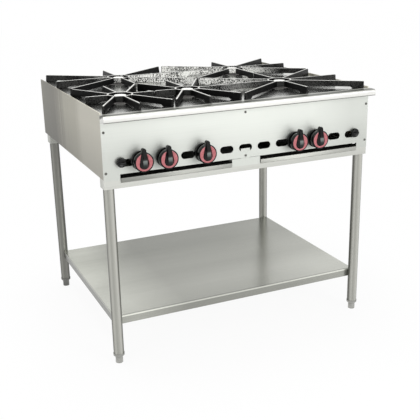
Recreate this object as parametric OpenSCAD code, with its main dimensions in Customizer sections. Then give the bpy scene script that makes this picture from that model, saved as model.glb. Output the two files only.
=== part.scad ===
// Five-burner gas stove on an open tube stand, with an undershelf.
// All sizes are in millimetres. X runs to the right, Y to the back and Z up from the floor.
// Inside the modules Y counts from the front panel's face; place() moves that to the model's own middle.

/* [Casing] */
// Width over the side panels
body_w = 1050; // [1030:5:1120]
// Depth from the front panel's face to the back panel
body_d = 857; // [857:1:900]
// Height of the side panels' top edge above the floor
body_top = 920; // [915:1:940]
// Height of the casing, from its underside to the side panels' top edge
body_h = 227; // [224:1:235]
// Thickness of the casing's sheet
sheet_t = 1.5; // [1.2:0.1:2]
// How far the front panel laps over the stand rail
panel_lap = 5; // [3:1:8]
// Width of the folded flanges of the side panels
side_flange = 18; // [14:1:20]
// Width of the hem along the side panels' top edge
hem_w = 5; // [4:0.5:6]
// Height of the hem along the side panels' top edge
hem_h = 12; // [8:1:14]

/* [Nose rail] */
// How far the nose stands in front of the panel
nose_reach = 43.5; // [38:0.5:50]
// Height of the nose's front band
nose_h = 23; // [20:1:28]
// Radius of the nose's top front edge
nose_r = 8; // [5:1:10]
// Depth of the nose's top below the side panels' top edge
nose_drop = 5; // [3:1:7]

/* [Deck] */
// Depth of the deck's face below the side panels' top edge
deck_drop = 7; // [5:1:9]
// Radius of the openings over the burners
well_r = 50; // [48:1:54]
// Depth of the turned-down rims of the deck
deck_rim = 10; // [6:1:12]

/* [Grates] */
// Distance from the casing's sides to the field that the grates cover
field_side = 11; // [11:0.5:20]
// Distance from the panel's face to the front row of grates
field_front = 1; // [0:1:4]
// Distance from the rear row of grates to the back panel's face
field_back = 24; // [20:1:40]
// Gap between neighbouring grates
grate_gap = 2; // [1:0.5:4]
// Height of the grates
grate_h = 28; // [25:1:32]
// Distance from a hub's centre to the corners of its octagon
hub_r = 46; // [43:1:50]
// Thickness of an arm at its foot
arm_base_t = 12; // [10:1:13]
// Thickness of an arm along its top
arm_top_t = 7; // [5:1:9]
// Height of the arch under the arms and the hub
arm_raise = 6; // [4:1:8]
// Length of the foot at each arm's end
arm_foot = 42; // [30:1:48]
// Step between the hub's underside and the arms'
hub_step = 1; // [0.5:0.5:3]

/* [Knobs] */
// Height of the knobs' axes above the casing's underside
knob_up = 57; // [55:1:59]
// Distance from the left pilot knob to the front left burner's knob
step_front_left = 68; // [66:1:70]
// Distance from that knob to the rear left burner's knob
step_rear_left = 89; // [87:1:91]
// Distance from that knob to the front middle burner's knob
step_front_mid = 142; // [138:1:144]
// Distance from the right pilot knob to the front right burner's knob
step_front_right = 174; // [171:1:174]
// Distance from that knob to the rear right burner's knob
step_rear_right = 86; // [86:1:88]
// Radius of a knob's round skirt and face
knob_r = 34; // [30:0.5:34]
// Distance from a knob's axis to the upper end of its grip
knob_tip = 48; // [42:0.5:48]
// Radius of the grip's upper end
grip_tip_r = 7; // [5.5:0.5:7.5]
// Radius of the grip's lower end
grip_r = 16; // [14:0.5:17]
// Distance from a knob's axis to the grip's lower end
grip_foot = 22.5; // [20:0.5:25]
// Thickness of the skirt at a knob's back
knob_skirt_t = 12; // [8:1:14]
// Length of the narrow waist between skirt and face
knob_waist_l = 14; // [10:1:18]
// Thickness of the round face that carries the ring
knob_face_t = 16; // [12:1:18]
// Height of the grip above the face
knob_grip_h = 12; // [8:1:14]
// Width of the black rim outside the red ring
ring_rim = 3.5; // [2:0.25:4]
// Radius of the small pilot knobs
pilot_knob_r = 17.5; // [14:0.5:18]
// Distance of the pilot knobs from the casing's sides
pilot_side = 62; // [61:1:64]

/* [Vent slots] */
// Distance from the casing's sides to the middle of the first slot place, when the row is centred
slot_side = 78.6; // [76:0.2:90]
// Length of a slot
slot_w = 52; // [46:1:54]
// Height of a slot
slot_h = 26; // [22:1:28]
// Height of the slots' middle above the casing's underside
slot_up = 52; // [51:1:55]
// Sideways place of the middle slot
slot_x = 4; // [2:1:6]

/* [Drip trays] */
// Mean distance from the casing's sides to the tray mouths
mouth_side = 52; // [49:1:60]
// Width of the plate between the two mouths
divider_w = 112; // [108:1:120]
// Sideways place of that plate's middle
divider_x = 6; // [2:1:8]
// Height of the tray mouths above the stand rail
mouth_h = 15; // [14:1:17]
// Height of the trays' walls
tray_wall_h = 12; // [9:0.5:12]
// Thickness of the trays' sheet
tray_t = 1.2; // [1:0.1:1.5]
// Distance from the trays' rear end to the back panel's face
tray_back_gap = 57; // [45:1:80]
// Height of the folded lip in front of the rail
tray_lip_h = 14; // [10:1:18]
// Gap at each side of a tray in its mouth
tray_side_gap = 2; // [1.5:0.5:4]

/* [Burners] */
// Radius of the burner heads
head_r = 42; // [38:1:44]
// Outer radius of the burners' necks
neck_r = 18; // [16:0.5:18]
// Outer radius of the mixing tubes
tube_r = 16; // [14:0.5:17]
// Wall of the necks and mixing tubes
burner_wall = 3.5; // [3:0.5:4]
// Depth of the burner bars' top below the deck's face
bar_drop = 53; // [49:1:58]
// Width of a burner bar
bar_w = 80; // [70:1:84]
// Radius of the gas manifold pipe
pipe_r = 16.85; // [15:0.05:17]
// Height of the manifold's axis above the knobs' axes
pipe_up = 42; // [40:1:46]
// Distance from the panel's face to the manifold's axis
pipe_y = 45; // [42:1:48]
// Distance of the pipe's run to the back from the casing's side
pipe_side = 30; // [29:1:35]
// Radius of the threaded inlet nipple
inlet_r = 13.2; // [12:0.1:14]
// Length of the threaded inlet nipple
inlet_l = 18; // [16:1:22]

/* [Stand] */
// Height of the stand's rails
rail_h = 33.5; // [30:0.5:38]
// Depth of the stand's rails
rail_d = 44; // [42.5:0.5:46]
// Thickness of the rails' sheet
rail_t = 2; // [1.5:0.1:2]
// Distance from the rear rail's middle to the back panel's face
rear_rail_gap = 60; // [51:1:62]
// Distance of the legs' axes from the casing's sides
leg_side = 21.4; // [21:0.2:25]
// Outer radius of the leg tubes
leg_r = 19; // [18:0.1:19]
// Wall of the leg tubes
leg_wall = 1.5; // [1.2:0.1:2]
// Height of the shelf's face above the floor
shelf_z = 172.8; // [150:0.2:320]
// Depth of the shelf's folded edges
shelf_flange = 31.5; // [25:0.5:36]
// How far the shelf's sides stand outside the legs' axes
shelf_over = 3.7; // [2:0.1:5]
// Distance from the panel's face to the shelf's front edge
shelf_front = 37; // [35:1:40]
// Distance from the shelf's rear edge to the rear legs' axes
shelf_rear_gap = 25; // [24:1:29]
// Height of the feet's lower cylinder
foot_h = 22; // [18:1:26]
// Radius of the feet's lower cylinder
foot_r = 13.5; // [12:0.5:15]
// Height of the feet's taper
foot_taper = 8; // [6:1:10]
// Height of the collars over the feet
collar_h = 8; // [6:1:12]
// Radius of the collars over the feet
collar_r = 20.5; // [20:0.5:22]

/* [Hidden] */
$fn = 48;
seat = 0.3;      // gap under a piece that rests or slides
fit = 0.08;      // clearance of a turning shaft
eps = 0.01;      // overlap of cutting shapes

half_w = body_w / 2;
inner_half = half_w - sheet_t;
body_bottom = body_top - body_h;
rail_bottom = body_bottom - rail_h;
front_rail_y = sheet_t + rail_d / 2;
rear_rail_y = body_d - rear_rail_gap;
leg_x = half_w - leg_side;
shelf_half_w = leg_x + shelf_over;
shelf_rear = rear_rail_y - shelf_rear_gap;
deck_z = body_top - deck_drop;
deck_under = deck_z - sheet_t;
bar_z = deck_z - bar_drop;
knob_z = body_bottom + knob_up;
slot_z = body_bottom + slot_up;
pipe_z = knob_z + pipe_up;
deck_gap = 2;
deck_half = half_w - hem_w - deck_gap;
nose_top = body_top - nose_drop;
nose_bottom = nose_top - nose_h;
mouth_top = body_bottom + mouth_h;
mouth_w = half_w - mouth_side - divider_w / 2;
tray_l = body_d - tray_back_gap;
lip_y = -tray_t - 1.5;

knob_gap = 4;
ring_t = 1.4;
ring_recess = 1;
ring_land = 0.4;
grip_steps = [0.35, 0.7, 1];
ring_outer_r = knob_r - ring_rim;
knob_face_y = -(knob_gap + knob_skirt_t + knob_waist_l + knob_face_t);
knob_depth = knob_grip_h - knob_face_y;
stem_r = 4;
stem_end = 23;
stem_hole_r = 7;

slot_pitch = (half_w - slot_side) / 6;
pilot_x = half_w - pilot_side;
pipe_run_x = half_w - pipe_side;
bracket_x = pilot_x - 33;

hex_l = 10;
hex_r = 20;
inlet_y = body_d + hex_l;
inlet_end = inlet_y + inlet_l;
panel_y = (knob_depth - inlet_end) / 2;

pilot_stem_r = 3;
pilot_valve_r = 8;
pilot_valve_end = 58;
valve_r = 12;
valve_front = 12;
valve_end = 62;
valve_hex_l = 8;
hood_r = 6.5;
hood_end = 80;
mouth_y = 78;
bell_l = 24;
bell_r = 24;
shutter_t = 3;
shutter_hole_r = 12;
bore_r = tube_r - burner_wall;
neck_bore_r = neck_r - burner_wall;
head_h = 26;
cap_r = 15;
cap_h = 20;
head_z = deck_z + 3;
flange_r = 30;
flange_h = 5;
port_count = 20;
port_w = 3;
port_h = 5;
bar_flange = 20;
pilot_tube_r = 3;
pilot_tube_z = bar_z - bar_flange - 10;
pilot_tube_y = 70;
pilot_dx = 44;
pilot_dy = 50;

// Burner places, one for each grate: front left, front middle, front right, rear left, rear right
cell_w = (half_w - field_side) / 2;
row_d = (body_d - field_front - field_back) / 2;
front_y = field_front + row_d / 2;
rear_y = front_y + row_d;
burner_x = [-1.5 * cell_w, -0.5 * cell_w, cell_w, -cell_w, cell_w];
burner_y = [front_y, front_y, front_y, rear_y, rear_y];
grate_w = [cell_w, cell_w, 2 * cell_w, 2 * cell_w, 2 * cell_w];
knob_front_left = -pilot_x + step_front_left;
knob_rear_left = knob_front_left + step_rear_left;
knob_front_mid = knob_rear_left + step_front_mid;
knob_front_right = pilot_x - step_front_right;
knob_rear_right = knob_front_right - step_rear_right;
knob_x = [knob_front_left, knob_front_mid, knob_front_right, knob_rear_left, knob_rear_right];
slot_steps = [-6, -3, -1, 0, 1, 2, 5, 6];
runner_w = 20;
runner_t = 2;
foot_stem_r = 8;
foot_stem_l = 40;
mouth_left = divider_x - divider_w / 2 - mouth_w;
mouth_right = divider_x + divider_w / 2;
screw_x = half_w - 9;
screw_low = body_bottom + 23;
screw_high = body_top - 65;
screw_mid = body_top - 47;
screw_r = 2;

// Moves a piece from the panel's frame to the middle of the whole stove
module place() {
    translate([0, panel_y, 0]) children();
}

// Turns a flat outline in X and Z into a plate of thickness t whose front face is at y
module upright(y, t) {
    translate([0, y + t, 0]) rotate([90, 0, 0]) linear_extrude(t) children();
}

// Box from its lowest to its highest corner
module block(low, high) {
    translate(low) cube(high - low);
}

// Shaft along Y from y0 to y1
module shaft(x, z, y0, y1, r) {
    translate([x, y1, z]) rotate([90, 0, 0]) cylinder(h = y1 - y0, r = r);
}

// Outline of a big and a small circle joined by their tangents, with the small one above
module drop(big, small, distance) {
    rise = asin((big - small) / distance);
    circle(big);
    translate([0, distance]) circle(small);
    polygon([
        [-big * cos(rise), big * sin(rise)],
        [big * cos(rise), big * sin(rise)],
        [small * cos(rise), distance + small * sin(rise)],
        [-small * cos(rise), distance + small * sin(rise)]
    ]);
}

// Outline of a slot with round ends
module slot_outline(w, h) {
    square([w - h, h], center = true);
    for (side = [-1, 1]) translate([side * (w - h) / 2, 0]) circle(h / 2);
}

// Side panel on the right, with its hem, deck ledge, bottom flange and screw flanges
module side_panel() {
    color("#A5A096") difference() {
        union() {
            block([inner_half, sheet_t, body_bottom], [half_w, body_d, body_top]);
            block([half_w - hem_w, sheet_t, body_top - hem_h], [half_w, body_d - sheet_t, body_top]);
            block([half_w - side_flange, sheet_t, deck_under - sheet_t], [half_w, body_d - sheet_t, deck_under]);
            block([half_w - side_flange, sheet_t, body_bottom], [half_w, body_d - sheet_t, body_bottom + sheet_t]);
            block([half_w - side_flange, sheet_t, body_bottom], [half_w, 2 * sheet_t, deck_under]);
        }
        for (z = [screw_low, screw_high]) shaft(screw_x, z, 0, 4 * sheet_t, screw_r + fit);
    }
}

module left_side_panel() {
    place() mirror([1, 0, 0]) side_panel();
}

module right_side_panel() {
    place() side_panel();
}

module back_panel() {
    place() color("#B4B4AE") difference() {
        union() {
            block([-inner_half, body_d - sheet_t, body_bottom], [inner_half, body_d, deck_under]);
            block([side_flange - half_w, body_d - side_flange, body_bottom],
                [half_w - side_flange, body_d, body_bottom + sheet_t]);
        }
        shaft(pipe_run_x, pipe_z, body_d - 2 * sheet_t, body_d + eps, pipe_r + seat);
    }
}

module front_panel() {
    place() color("#E2E4E0") difference() {
        block([-half_w, 0, body_bottom - panel_lap], [half_w, sheet_t, nose_bottom]);
        block([mouth_left, -eps, body_bottom - panel_lap - eps],
            [mouth_right + mouth_w, sheet_t + eps, mouth_top]);
        for (step = slot_steps) translate([slot_x + step * slot_pitch, 0, slot_z])
            upright(-eps, sheet_t + 2 * eps) slot_outline(slot_w, slot_h);
        for (x = knob_x) shaft(x, knob_z, -eps, sheet_t + eps, stem_hole_r);
        for (side = [-1, 1]) shaft(side * pilot_x, knob_z, -eps, sheet_t + eps, stem_hole_r);
        for (side = [-1, 1], z = [screw_low, screw_high])
            shaft(side * screw_x, z, -eps, sheet_t + eps, screw_r + fit);
        shaft(slot_x, screw_mid, -eps, sheet_t + eps, screw_r + fit);
        shaft(slot_x, screw_low, -eps, sheet_t + eps, screw_r + fit);
    }
}

// Plate between the tray mouths, with the tab that a screw holds and the floor strip between the trays
module tray_divider() {
    tab_w = 36;
    strip = divider_w / 2 - 2;
    place() color("#D8DAD6") difference() {
        union() {
            block([divider_x - divider_w / 2, 0, body_bottom - tray_lip_h],
                [divider_x + divider_w / 2, sheet_t, mouth_top - 1]);
            block([slot_x - tab_w / 2, sheet_t, body_bottom + seat], [slot_x + tab_w / 2, 2 * sheet_t, slot_z - 3]);
            block([divider_x - strip, 2 * sheet_t + seat, body_bottom + seat],
                [divider_x + strip, rear_rail_y, body_bottom + seat + sheet_t]);
        }
        shaft(slot_x, screw_low, -eps, 2 * sheet_t + eps, screw_r + fit);
    }
}

module screw(x, z) {
    head_r = 4.5;
    head_h = 2.2;
    translate([x, 0, z]) rotate([90, 0, 0]) rotate_extrude() polygon([
        [0, -3 * sheet_t], [screw_r, -3 * sheet_t], [screw_r, 0], [head_r, 0],
        [head_r, head_h * 0.4], [head_r * 0.6, head_h], [0, head_h]
    ]);
}

module panel_screws() {
    place() color("#9A9A96") {
        for (side = [-1, 1], z = [screw_low, screw_high]) screw(side * screw_x, z);
        screw(slot_x, screw_low);
        screw(slot_x, screw_mid);
    }
}

// Outline of the nose in Y and Z, with its two front edges rounded
module nose_outline(inset) {
    low_r = 3;
    translate([-nose_reach + inset, nose_bottom + inset]) {
        w = nose_reach + sheet_t - 2 * inset;
        h = nose_h - 2 * inset;
        r = nose_r - inset;
        translate([r, 0]) square([w - r, h]);
        translate([0, low_r]) square([w, h - r - low_r]);
        translate([low_r, 0]) square([w - low_r, low_r]);
        translate([r, h - r]) circle(r);
        translate([low_r, low_r]) circle(low_r);
    }
}

module nose_bar(half, inset) {
    translate([-half, 0, 0]) rotate([90, 0, 90]) linear_extrude(2 * half) nose_outline(inset);
}

module nose_rail() {
    place() color("#F0F0EE") difference() {
        nose_bar(half_w, 0);
        nose_bar(inner_half, sheet_t);
    }
}

module deck() {
    deck_front = 2 * sheet_t + 0.5;
    place() color("#D9DAD6") difference() {
        union() {
            block([-deck_half, deck_front, deck_under], [deck_half, body_d - 2 * sheet_t, deck_z]);
            block([side_flange - half_w + 1, deck_front, deck_z - deck_rim],
                [half_w - side_flange - 1, deck_front + sheet_t, deck_z]);
            for (i = [0:4]) translate([burner_x[i], burner_y[i], deck_z - deck_rim])
                cylinder(h = deck_rim, r = well_r + sheet_t);
        }
        for (i = [0:4]) translate([burner_x[i], burner_y[i], deck_z - deck_rim - eps])
            cylinder(h = deck_rim + 2 * eps, r = well_r);
    }
}

// Stand rail: a channel open below, with closed ends, centred on y
module stand_rail(y) {
    place() color("#B9BAB5") difference() {
        block([-half_w, y - rail_d / 2, rail_bottom], [half_w, y + rail_d / 2, body_bottom]);
        block([rail_t - half_w, y - rail_d / 2 + rail_t, rail_bottom - eps],
            [half_w - rail_t, y + rail_d / 2 - rail_t, body_bottom - rail_t]);
    }
}

module leg(side, y) {
    place() color("#A9AAA6") translate([side * leg_x, y, foot_h + foot_taper + collar_h]) difference() {
        h = body_bottom - rail_t - foot_h - foot_taper - collar_h;
        cylinder(h = h, r = leg_r);
        translate([0, 0, -eps]) cylinder(h = h + 2 * eps, r = leg_r - leg_wall);
    }
}

// Collars at the legs' lower ends, with the threaded plug inside each tube
module leg_collars() {
    plug_h = 24;
    place() color("#8E8F8C") for (side = [-1, 1], y = [front_rail_y, rear_rail_y])
        translate([side * leg_x, y, foot_h + foot_taper]) difference() {
            union() {
                cylinder(h = collar_h, r = collar_r);
                cylinder(h = collar_h + plug_h, r = leg_r - leg_wall);
            }
            translate([0, 0, -eps]) cylinder(h = collar_h + plug_h + 2 * eps, r = foot_stem_r + seat);
        }
}

module foot(side, y) {
    place() color("#9C9D9A") translate([side * leg_x, y, 0]) {
        cylinder(h = foot_h, r = foot_r);
        translate([0, 0, foot_h]) cylinder(h = foot_taper - seat, r1 = foot_r, r2 = leg_r);
        translate([0, 0, foot_h]) cylinder(h = foot_taper + foot_stem_l, r = foot_stem_r);
    }
}

// Shelf with folded edges and a return along their lower side, notched round the front legs
module undershelf() {
    fold = 12;
    low = shelf_z - shelf_flange;
    place() color("#B3B3AD") difference() {
        block([-shelf_half_w, shelf_front, low], [shelf_half_w, shelf_rear, shelf_z]);
        block([sheet_t - shelf_half_w, shelf_front + sheet_t, low + sheet_t],
            [shelf_half_w - sheet_t, shelf_rear - sheet_t, shelf_z - sheet_t]);
        block([fold - shelf_half_w, shelf_front + fold, low - eps],
            [shelf_half_w - fold, shelf_rear - fold, low + 2 * sheet_t]);
        for (side = [-1, 1]) translate([side * leg_x, front_rail_y, low - eps])
            cylinder(h = shelf_flange + 2 * eps, r = leg_r + seat);
    }
}

// Two inverted channels under the shelf, from its front edge to its rear edge
module shelf_stiffeners() {
    channel_w = 60;
    channel_h = 24;
    top = shelf_z - sheet_t;
    place() color("#A6A6A0") for (x = [-1, 1] * shelf_half_w * 0.36) difference() {
        block([x - channel_w / 2, shelf_front + sheet_t, top - channel_h],
            [x + channel_w / 2, shelf_rear - sheet_t, top]);
        block([x - channel_w / 2 + sheet_t, shelf_front, top - channel_h - eps],
            [x + channel_w / 2 - sheet_t, shelf_rear, top - sheet_t]);
    }
}

// Blocks that join the shelf to the legs: inside its front corners and behind its rear edge
module shelf_saddles() {
    saddle_w = 20;
    high = shelf_z - 2 * sheet_t;
    low = shelf_z - shelf_flange + 2 * sheet_t;
    right = shelf_half_w - sheet_t;
    place() color("#8E8F8C") for (side = [-1, 1]) mirror([side < 0 ? 1 : 0, 0, 0]) difference() {
        union() {
            block([right - saddle_w, shelf_front + sheet_t, low], [right, front_rail_y + leg_r + 10, high]);
            block([right - saddle_w, shelf_rear, low], [right, rear_rail_y, high]);
        }
        for (y = [front_rail_y, rear_rail_y]) translate([leg_x, y, low - eps])
            cylinder(h = high - low + 2 * eps, r = leg_r + fit);
    }
}

// Channels across the casing that carry the burners by their flanges
module burner_bars() {
    place() color("#8B8C88") for (y = [front_y, rear_y]) difference() {
        block([-inner_half, y - bar_w / 2, bar_z - bar_flange], [inner_half, y + bar_w / 2, bar_z]);
        block([-half_w, y - bar_w / 2 + sheet_t, bar_z - bar_flange - eps],
            [half_w, y + bar_w / 2 - sheet_t, bar_z - sheet_t]);
        for (i = [0:4]) translate([burner_x[i], burner_y[i], bar_z - bar_flange])
            cylinder(h = bar_flange + eps, r = neck_r + seat);
    }
}

// Angles that carry the trays between the two stand rails
module tray_runners() {
    y0 = front_rail_y + rail_d / 2;
    y1 = rear_rail_y - rail_d / 2;
    place() color("#9A9B97") for (x = [mouth_left, mouth_right], edge = [0, 1]) {
        left = x + edge * mouth_w - runner_w / 2;
        web = left + edge * (runner_w - runner_t);
        block([left, y0, body_bottom - runner_t], [left + runner_w, y1, body_bottom]);
        block([web, y0, body_bottom - runner_w], [web + runner_t, y1, body_bottom]);
    }
}

module drip_tray(x) {
    x0 = x + tray_side_gap;
    x1 = x + mouth_w - tray_side_gap;
    floor_z = body_bottom + seat;
    wall_front = rail_d / 2;
    place() color("#C9CBC7") {
        block([x0, lip_y, floor_z], [x1, tray_l, floor_z + tray_t]);
        block([x0, lip_y, body_bottom - tray_lip_h], [x1, lip_y + tray_t, floor_z + tray_t]);
        block([x0, lip_y - tray_t, body_bottom - tray_lip_h], [x1, lip_y + tray_t, body_bottom - tray_lip_h + tray_t]);
        for (wall = [x0, x1 - tray_t])
            block([wall, wall_front, floor_z], [wall + tray_t, tray_l, floor_z + tray_wall_h]);
        block([x0, tray_l - tray_t, floor_z], [x1, tray_l, floor_z + tray_wall_h]);
    }
}

// Burner casting: head with side ports, neck with its flange, ball elbow and mixing tube
module burner(i) {
    x = burner_x[i];
    y = burner_y[i];
    dx = x - knob_x[i];
    dy = y - mouth_y;
    reach = sqrt(dx * dx + dy * dy);
    turn = atan2(dy, dx);
    neck_top = head_z - head_h;
    place() color("#4A4744") difference() {
        union() {
            translate([x, y, knob_z]) cylinder(h = neck_top + 1 - knob_z, r = neck_r);
            translate([x, y, knob_z]) sphere(neck_r);
            translate([x, y, bar_z]) cylinder(h = flange_h, r = flange_r);
            translate([x, y, neck_top]) rotate_extrude() burner_head_outline();
            translate([knob_x[i], mouth_y, knob_z]) rotate([0, 90, turn]) {
                cylinder(h = reach, r = tube_r);
                cylinder(h = bell_l, r1 = bell_r, r2 = tube_r);
            }
        }
        translate([x, y, knob_z]) cylinder(h = neck_top - knob_z + head_h / 2, r = neck_bore_r);
        translate([knob_x[i], mouth_y, knob_z]) rotate([0, 90, turn]) {
            translate([0, 0, -eps]) cylinder(h = reach, r = bore_r);
            translate([0, 0, -eps]) cylinder(h = bell_l, r1 = bell_r - burner_wall, r2 = bore_r);
        }
        for (k = [0:port_count - 1]) translate([x, y, head_z - head_h * 0.34]) rotate(k * 360 / port_count)
            translate([head_r * 0.82, -port_w / 2, -port_h]) cube([head_r, port_w, port_h]);
    }
}

module burner_head_outline() {
    polygon([
        [0, 0], [neck_r, 0], [head_r * 0.9, head_h * 0.32], [head_r, head_h * 0.38], [head_r, head_h * 0.72],
        [head_r * 0.93, head_h * 0.82], [head_r * 0.55, head_h * 0.97], [cap_r + 2, head_h],
        [cap_r, head_h + cap_h - 2], [cap_r - 2, head_h + cap_h], [0, head_h + cap_h]
    ]);
}

// Discs that set the air at the mixing tubes' mouths
module air_shutters() {
    place() color("#B0A98F") for (i = [0:4]) {
        turn = atan2(burner_y[i] - mouth_y, burner_x[i] - knob_x[i]);
        translate([knob_x[i], mouth_y, knob_z]) rotate([0, 90, turn]) translate([0, 0, -shutter_t]) difference() {
            cylinder(h = shutter_t, r = bell_r);
            translate([0, 0, -eps]) cylinder(h = shutter_t + 2 * eps, r = shutter_hole_r);
        }
    }
}

// Pipe along the front, capped on the left, that turns and runs to the back on the right
module gas_manifold() {
    bend = 26;
    bend_x = pipe_run_x - bend;
    left = -pilot_x - 22;
    place() color("#3B3B3A") {
        translate([left, pipe_y, pipe_z]) rotate([0, 90, 0]) pipe(bend_x - left);
        translate([left - 8, pipe_y, pipe_z]) rotate([0, 90, 0]) cylinder(h = 8, r = pipe_r + 2);
        translate([bend_x, pipe_y + bend, pipe_z]) rotate([0, 0, -90]) rotate_extrude(angle = 90)
            translate([bend, 0]) difference() {
                circle(pipe_r);
                circle(pipe_r - 3);
            }
        translate([pipe_run_x, body_d, pipe_z]) rotate([90, 0, 0]) pipe(body_d - pipe_y - bend);
    }
}

module pipe(length) {
    difference() {
        cylinder(h = length, r = pipe_r);
        translate([0, 0, -eps]) cylinder(h = length + 2 * eps, r = pipe_r - 3);
    }
}

module manifold_brackets() {
    saddle_w = 20;
    place() color("#8B8C88") for (x = [-bracket_x, slot_x + slot_pitch / 2, bracket_x]) difference() {
        block([x - saddle_w / 2, sheet_t, pipe_z - pipe_r - 7], [x + saddle_w / 2, pipe_y + pipe_r, pipe_z]);
        translate([x - saddle_w, pipe_y, pipe_z]) rotate([0, 90, 0]) cylinder(h = 2 * saddle_w, r = pipe_r + fit);
    }
}

module gas_inlet() {
    place() color("#B89B5A") difference() {
        union() {
            translate([pipe_run_x, body_d + hex_l, pipe_z]) rotate([90, 0, 0]) cylinder(h = hex_l, r = hex_r, $fn = 6);
            shaft(pipe_run_x, pipe_z, body_d + 1, inlet_end, inlet_r);
        }
        shaft(pipe_run_x, pipe_z, body_d - eps, inlet_end + eps, inlet_r - 3);
    }
}

// Tap under the manifold: body, boss to the pipe and, where asked, the jet hood
module valve(x, body_r, body_end, stem, hood) {
    difference() {
        union() {
            shaft(x, knob_z, valve_front, body_end, body_r);
            translate([x, pipe_y, knob_z]) cylinder(h = pipe_z - knob_z, r = body_r * 0.7);
            translate([x, valve_front + 2 * valve_hex_l, knob_z]) rotate([90, 0, 0])
                cylinder(h = valve_hex_l, r = body_r + 2, $fn = 6);
            if (hood > 0) shaft(x, knob_z, body_end - 1, hood_end, hood);
        }
        shaft(x, knob_z, valve_front - eps, stem_end + 1, stem + fit);
        translate([x - 2 * body_r, pipe_y, pipe_z]) rotate([0, 90, 0]) cylinder(h = 4 * body_r, r = pipe_r + fit);
    }
}

module gas_valves() {
    place() color("#B89B5A") {
        for (x = knob_x) valve(x, valve_r, valve_end, stem_r, hood_r);
        for (side = [-1, 1]) valve(side * pilot_x, pilot_valve_r, pilot_valve_end, pilot_stem_r, 0);
    }
}

module rod(from, to) {
    gap = to - from;
    length = norm(gap);
    translate(from) rotate([0, acos(gap[2] / length), atan2(gap[1], gap[0])]) cylinder(h = length, r = pilot_tube_r);
}

// Pipe that joins its points with straight rods and round corners
module tube_run(points) {
    for (k = [1:len(points) - 1]) rod(points[k - 1], points[k]);
    for (k = [1:len(points) - 2]) translate(points[k]) sphere(pilot_tube_r);
}

module pilot_branch(i, start_y) {
    x = burner_x[i] + pilot_dx;
    y = burner_y[i] - pilot_dy;
    tube_run([[x, start_y, pilot_tube_z], [x, y, pilot_tube_z], [x, y, head_z - head_h / 2]]);
}

module pilot_tubes() {
    left_end = burner_x[1] + pilot_dx;
    right_end = burner_x[2] + pilot_dx;
    place() color("#B5B6B2") {
        tube_run([[-pilot_x, pilot_valve_end, knob_z], [-pilot_x, pilot_tube_y, knob_z],
            [-pilot_x, pilot_tube_y, pilot_tube_z], [left_end, pilot_tube_y, pilot_tube_z]]);
        translate([left_end, pilot_tube_y, pilot_tube_z]) sphere(pilot_tube_r);
        pilot_branch(0, pilot_tube_y);
        pilot_branch(1, pilot_tube_y);
        pilot_branch(3, pilot_tube_y);
        tube_run([[pilot_x, pilot_valve_end, knob_z], [pilot_x, pilot_tube_y, knob_z],
            [pilot_x, pilot_tube_y, pilot_tube_z], [right_end, pilot_tube_y, pilot_tube_z]]);
        translate([right_end, pilot_tube_y, pilot_tube_z]) sphere(pilot_tube_r);
        pilot_branch(2, pilot_tube_y);
        pilot_branch(4, pilot_tube_y);
    }
}

// Knob drawn on its own axis, with the front at -Y and the grip's narrow end upwards
module knob_shape() {
    waist_y = -knob_gap - knob_skirt_t - knob_waist_l;
    difference() {
        union() {
            upright(-knob_gap - knob_skirt_t, knob_skirt_t) circle(knob_r);
            upright(waist_y, knob_waist_l) circle(knob_r - 6);
            upright(knob_face_y, knob_face_t) circle(knob_r);
            for (k = [0:2]) upright(knob_face_y - grip_steps[k] * knob_grip_h, knob_face_t)
                grip_outline(-0.8 * k, grip_r * (1 - 0.2 * k));
        }
        upright(knob_face_y - eps, ring_recess + eps) ring_outline(0);
        shaft(0, 0, knob_face_y + 4, 0, stem_r);
    }
}

// Grip on the knob's face, round below and narrow above; a margin grows or shrinks it
module grip_outline(margin, wide = grip_r) {
    low = wide - grip_foot;
    high = knob_tip - grip_tip_r;
    translate([0, low]) drop(wide + margin, grip_tip_r + margin, high - low);
}

// The whole face inside its rim, but for the grip, which splits the ring at the top
module ring_outline(margin) {
    difference() {
        circle(ring_outer_r - margin);
        grip_outline(ring_land + margin);
    }
}

module knob(i) {
    place() translate([knob_x[i], 0, knob_z]) {
        color("#1B1B1C") knob_shape();
        color("#B89B5A") shaft(0, 0, knob_face_y + 4, stem_end, stem_r);
    }
}

module ring(i) {
    place() color("#CD6469") translate([knob_x[i], 0, knob_z])
        upright(knob_face_y + ring_recess - ring_t, ring_t) ring_outline(fit);
}

module pilot_knob(side) {
    depth = 20;
    place() translate([side * pilot_x, 0, knob_z]) {
        color("#1B1B1C") {
            rotate([90, 0, 0]) rotate_extrude() polygon([
                [0, 3], [pilot_knob_r * 0.8, 3], [pilot_knob_r, 6], [pilot_knob_r, depth - 4],
                [pilot_knob_r - 3, depth - 1], [0, depth - 1]
            ]);
            upright(-depth - 2, 4) slot_outline(pilot_knob_r * 1.6, 5);
        }
        color("#B89B5A") shaft(0, 0, -4, stem_end, pilot_stem_r);
    }
}

// Width of a tapered arm at a height above the deck
function arm_t(z) = arm_base_t + (arm_top_t - arm_base_t) * z / grate_h;

// Tapered blade along X from 0 to length, from height low up to the grate's top
module blade(length, low) {
    rotate([90, 0, 90]) linear_extrude(length) polygon([
        [-arm_t(low) / 2, low], [arm_t(low) / 2, low], [arm_top_t / 2, grate_h], [-arm_top_t / 2, grate_h]
    ]);
}

// Arm of the grate along X: the blade cut to its arched side outline, with a foot at the end
module arm(length) {
    root = 2;
    ramp = 8;
    chamfer = 3;
    translate([-root, 0, 0]) intersection() {
        blade(length + root, 0);
        translate([0, arm_base_t / 2, 0]) rotate([90, 0, 0]) linear_extrude(arm_base_t) polygon([
            [0, arm_raise], [length + root - arm_foot - ramp, arm_raise], [length + root - arm_foot, 0],
            [length + root, 0], [length + root, grate_h - chamfer], [length + root - chamfer, grate_h],
            [0, grate_h]
        ]);
    }
}

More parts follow.
